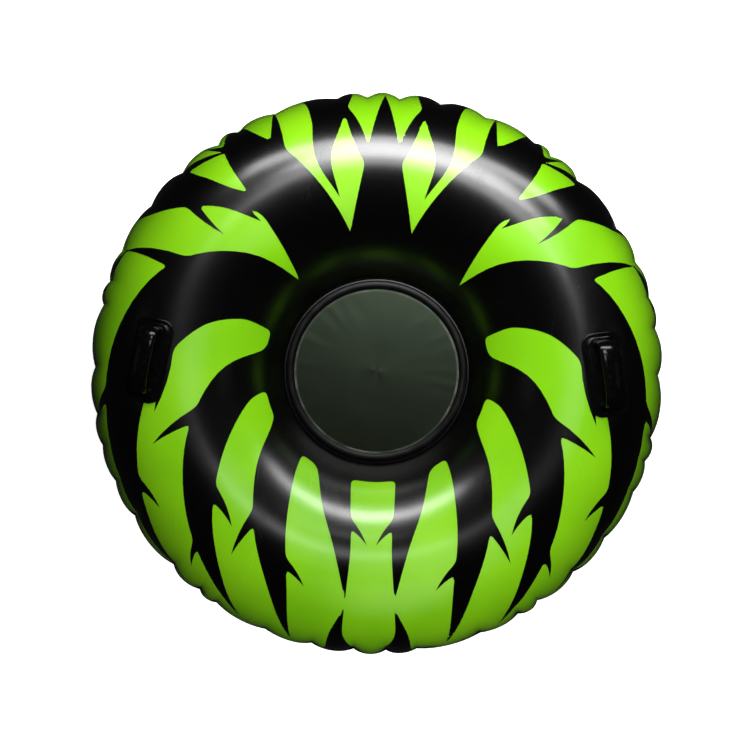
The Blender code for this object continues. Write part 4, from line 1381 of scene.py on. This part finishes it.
def add_lamps(stage, collection):
    """The lamps: each with its place, what it points at in plan, its size, spread and power."""
    edge_power = stage.overhead_power * EDGE_LAMP_SHARE
    lamps = (
        ("overhead_fill", (0.19, 0.25, 1.4), (0.19, 0.25), (0.45, 4.2), 180, stage.fill_power),
        ("overhead_softbox", (0.15, 0.81, 1.35), (0.1, 0.38), (0.9, 0.36), 50, stage.overhead_power),
        ("overhead_edge", (0.1, 0.72, 2.65), (0, 0.28), (0.9, 0.5), 40, edge_power),
        ("back_softbox", (0.12, 0.75, 0.785), (0.12, -0.6), (1.25, 0.17), 112, stage.back_power),
        ("left_softbox", (-1.5, 0.1, 1.5), (0, 0), (0.5, 0.5), 180, stage.side_power),
        ("right_softbox", (1.5, 0.1, 1.5), (0, 0), (0.5, 0.5), 180, stage.side_power),
        ("under_softbox", (0, 0, -0.8), (0, 0), (1.0, 1.0), 180, stage.under_power),
    )
    for name, spot, aim, size, spread, power in lamps:
        data = bpy.data.lights.new(name, "AREA")
        data.shape = "RECTANGLE"
        data.size, data.size_y = size
        data.energy = power
        data.spread = math.radians(spread)
        lamp = bpy.data.objects.new(name, data)
        lamp.location = spot
        gaze = Vector((*aim, SEAM_LEVEL)) - Vector(spot)
        lamp.rotation_euler = gaze.to_track_quat("-Z", "Y").to_euler()
        lamp.visible_glossy = name != "overhead_fill"
        lamp.visible_camera = False
        collection.objects.link(lamp)


def studio_camera(stage):
    """The camera over the seat, leaning and turned as in the photograph."""
    data = bpy.data.cameras.new("studio_camera")
    data.lens = stage.focal_length * 1000
    data.sensor_width = SENSOR_WIDTH
    data.clip_end = CLIP_END
    camera = bpy.data.objects.new("studio_camera", data)
    out = Vector((0, -math.sin(stage.camera_tilt), math.cos(stage.camera_tilt)))
    upright = Vector((-math.sin(stage.camera_roll), math.cos(stage.camera_roll), 0))
    right = upright.cross(out).normalized()
    turned = Matrix((right, out.cross(right), out)).transposed().to_4x4()
    middle = Vector((0, 0, SEAM_LEVEL)) + Vector(CAMERA_SHIFT)
    turned.translation = middle + out * stage.camera_distance
    camera.matrix_world = turned
    return camera


# Operators


class BuildTopCover(Operator):
    """Build the printed top sheet of the ring"""

    bl_idname = "snow_tube.build_top_cover"
    bl_label = "Printed top sheet"

    def execute(self, context):
        material = material_named("Printed Vinyl")
        look = context.scene.snow_tube_look
        piece, x, y = cover("printed_cover", TOP, material, look, FOLD_SEED)
        offset, width = sharp_tips(x, y)
        fields = {
            PRINT_AND_SHADE_ATTRIBUTE: print_field(x, y),
            TIP_OFFSET_ATTRIBUTE: offset,
            TIP_WIDTH_ATTRIBUTE: width,
        }
        for name, values in fields.items():
            attribute = piece.data.attributes.new(name, "FLOAT", "POINT")
            attribute.data.foreach_set("value", values.ravel())
        mount_piece(piece, "tube", "printed_sheet", "top_skin")
        return {"FINISHED"}


class BuildUndersideCover(Operator):
    """Build the plain black sheet of the ring's underside"""

    bl_idname = "snow_tube.build_underside_cover"
    bl_label = "Underside sheet"

    def execute(self, context):
        material = material_named("Black Vinyl")
        look = context.scene.snow_tube_look
        piece, _, _ = cover("underside_cover", UNDERSIDE, material, look, FOLD_SEED + 1)
        cut_round_hole(piece, *valve_seat(), HOLE_RADIUS)
        mount_piece(piece, "tube", "black_sheet", "bottom_skin")
        return {"FINISHED"}


class BuildSeat(Operator):
    """Build the disc seat and the welt round it"""

    bl_idname = "snow_tube.build_seat"
    bl_label = "Disc seat and welt"

    def execute(self, context):
        seat = ("Satin Disc Vinyl", "tube", "disc_sheet", "centre_disc")
        build_piece("seat_sheet", [seat_part()], *seat)
        welt = ("Welt Vinyl", "tube", "black_sheet", "inner_seam_welt")
        build_piece("seat_welt", [welt_part()], *welt)
        return {"FINISHED"}


class BuildHandles(Operator):
    """Build the two moulded grab handles with their pads"""

    bl_idname = "snow_tube.build_handles"
    bl_label = "Grab handles"

    def execute(self, context):
        finish = ("Handle Moulding", "tube", "handle_moulding")
        for side, direction in (("left", -1), ("right", 1)):
            along = np.array([-direction * math.sin(HANDLE_LEAN), math.cos(HANDLE_LEAN), 0])
            seat = seat_axes(direction * HANDLE_REACH, HANDLE_ADVANCE, TOP, along)
            plate = plate_part(*seat)
            build_piece(f"{side}_handle_plate", [plate], *finish, f"handle_{side}_pad")
            bar = ring_solid(in_axes(grip_rings(), *seat))
            build_piece(f"{side}_handle_bar", [bar], *finish, f"handle_{side}_grip")
        return {"FINISHED"}


class BuildValve(Operator):
    """Build the air valve on the underside: patch, base, gasket, insert, flap and cap"""

    bl_idname = "snow_tube.build_valve"
    bl_label = "Air valve"

    def execute(self, context):
        seat = valve_seat()
        rings = on_skin_rings(round_rings(PATCH_PROFILE, VALVE_SEGMENTS), UNDERSIDE, *seat)
        patch = ring_solid(rings, closed_rows=True)
        finish = ("Black Vinyl", "tube", "black_sheet", "valve_patch")
        build_piece("valve_patch_sheet", [patch], *finish)
        moulding = ("Valve Moulding", "valve_moulding")
        rubber = ("Soft Rubber", "soft_rubber")
        insert = insert_parts(context.scene.snow_tube_look.collar_lobes)
        pieces = (
            ("valve_base_moulding", [base_part(*seat)], moulding, "tube", "valve_base"),
            ("valve_gasket_ring", [gasket_part()], rubber, "gasket", "valve_gasket"),
            ("valve_insert_moulding", insert, moulding, "insert", "valve_insert"),
            ("valve_flap_sheet", [flap_part()], rubber, "flap", "valve_flap"),
            ("valve_cap_moulding", cap_parts(), moulding, "cap", "valve_cap"),
        )
        for name, parts, (material, slot), body, node in pieces:
            parts = [(in_axes(points, *seat), faces) for points, faces in parts]
            build_piece(name, parts, material, body, slot, node)
        return {"FINISHED"}


class BuildStage(Operator):
    """Build the floor, the lamps and the camera"""

    bl_idname = "snow_tube.build_stage"
    bl_label = "Floor, lamps and camera"

    def execute(self, context):
        stage = context.scene.snow_tube_stage
        context.scene.view_settings.view_transform = "Standard"
        add_floor(stage)
        context.scene.world = studio_world(stage)
        add_lamps(stage, context.scene.collection)
        camera = studio_camera(stage)
        context.scene.collection.objects.link(camera)
        context.scene.camera = camera
        return {"FINISHED"}


class SnowTubePanel(Panel):
    """Buttons and settings of the snow tube"""

    bl_idname = "VIEW3D_PT_snow_tube"
    bl_label = "Snow Tube"
    bl_space_type = "VIEW_3D"
    bl_region_type = "UI"
    bl_category = "Snow Tube"

    def draw(self, context):
        column = self.layout.column(align=True)
        for operator in OPERATORS:
            column.operator(operator.bl_idname)
        for settings in (context.scene.snow_tube_look, context.scene.snow_tube_stage):
            column.separator()
            for key in settings.__annotations__:
                column.prop(settings, key)


OPERATORS = (
    BuildTopCover,
    BuildUndersideCover,
    BuildSeat,
    BuildHandles,
    BuildValve,
    BuildStage,
)
CLASSES = (SnowTubeLook, SnowTubeStage, *OPERATORS, SnowTubePanel)


def register():
    for item in CLASSES:
        bpy.utils.register_class(item)
    bpy.types.Scene.snow_tube_look = PointerProperty(type=SnowTubeLook)
    bpy.types.Scene.snow_tube_stage = PointerProperty(type=SnowTubeStage)


def unregister():
    del bpy.types.Scene.snow_tube_stage
    del bpy.types.Scene.snow_tube_look
    for item in reversed(CLASSES):
        bpy.utils.unregister_class(item)


def main():
    register()
    bpy.ops.snow_tube.build_top_cover()
    bpy.ops.snow_tube.build_underside_cover()
    bpy.ops.snow_tube.build_seat()
    bpy.ops.snow_tube.build_handles()
    bpy.ops.snow_tube.build_valve()
    bpy.ops.snow_tube.build_stage()


if __name__ == "__main__":
    main()
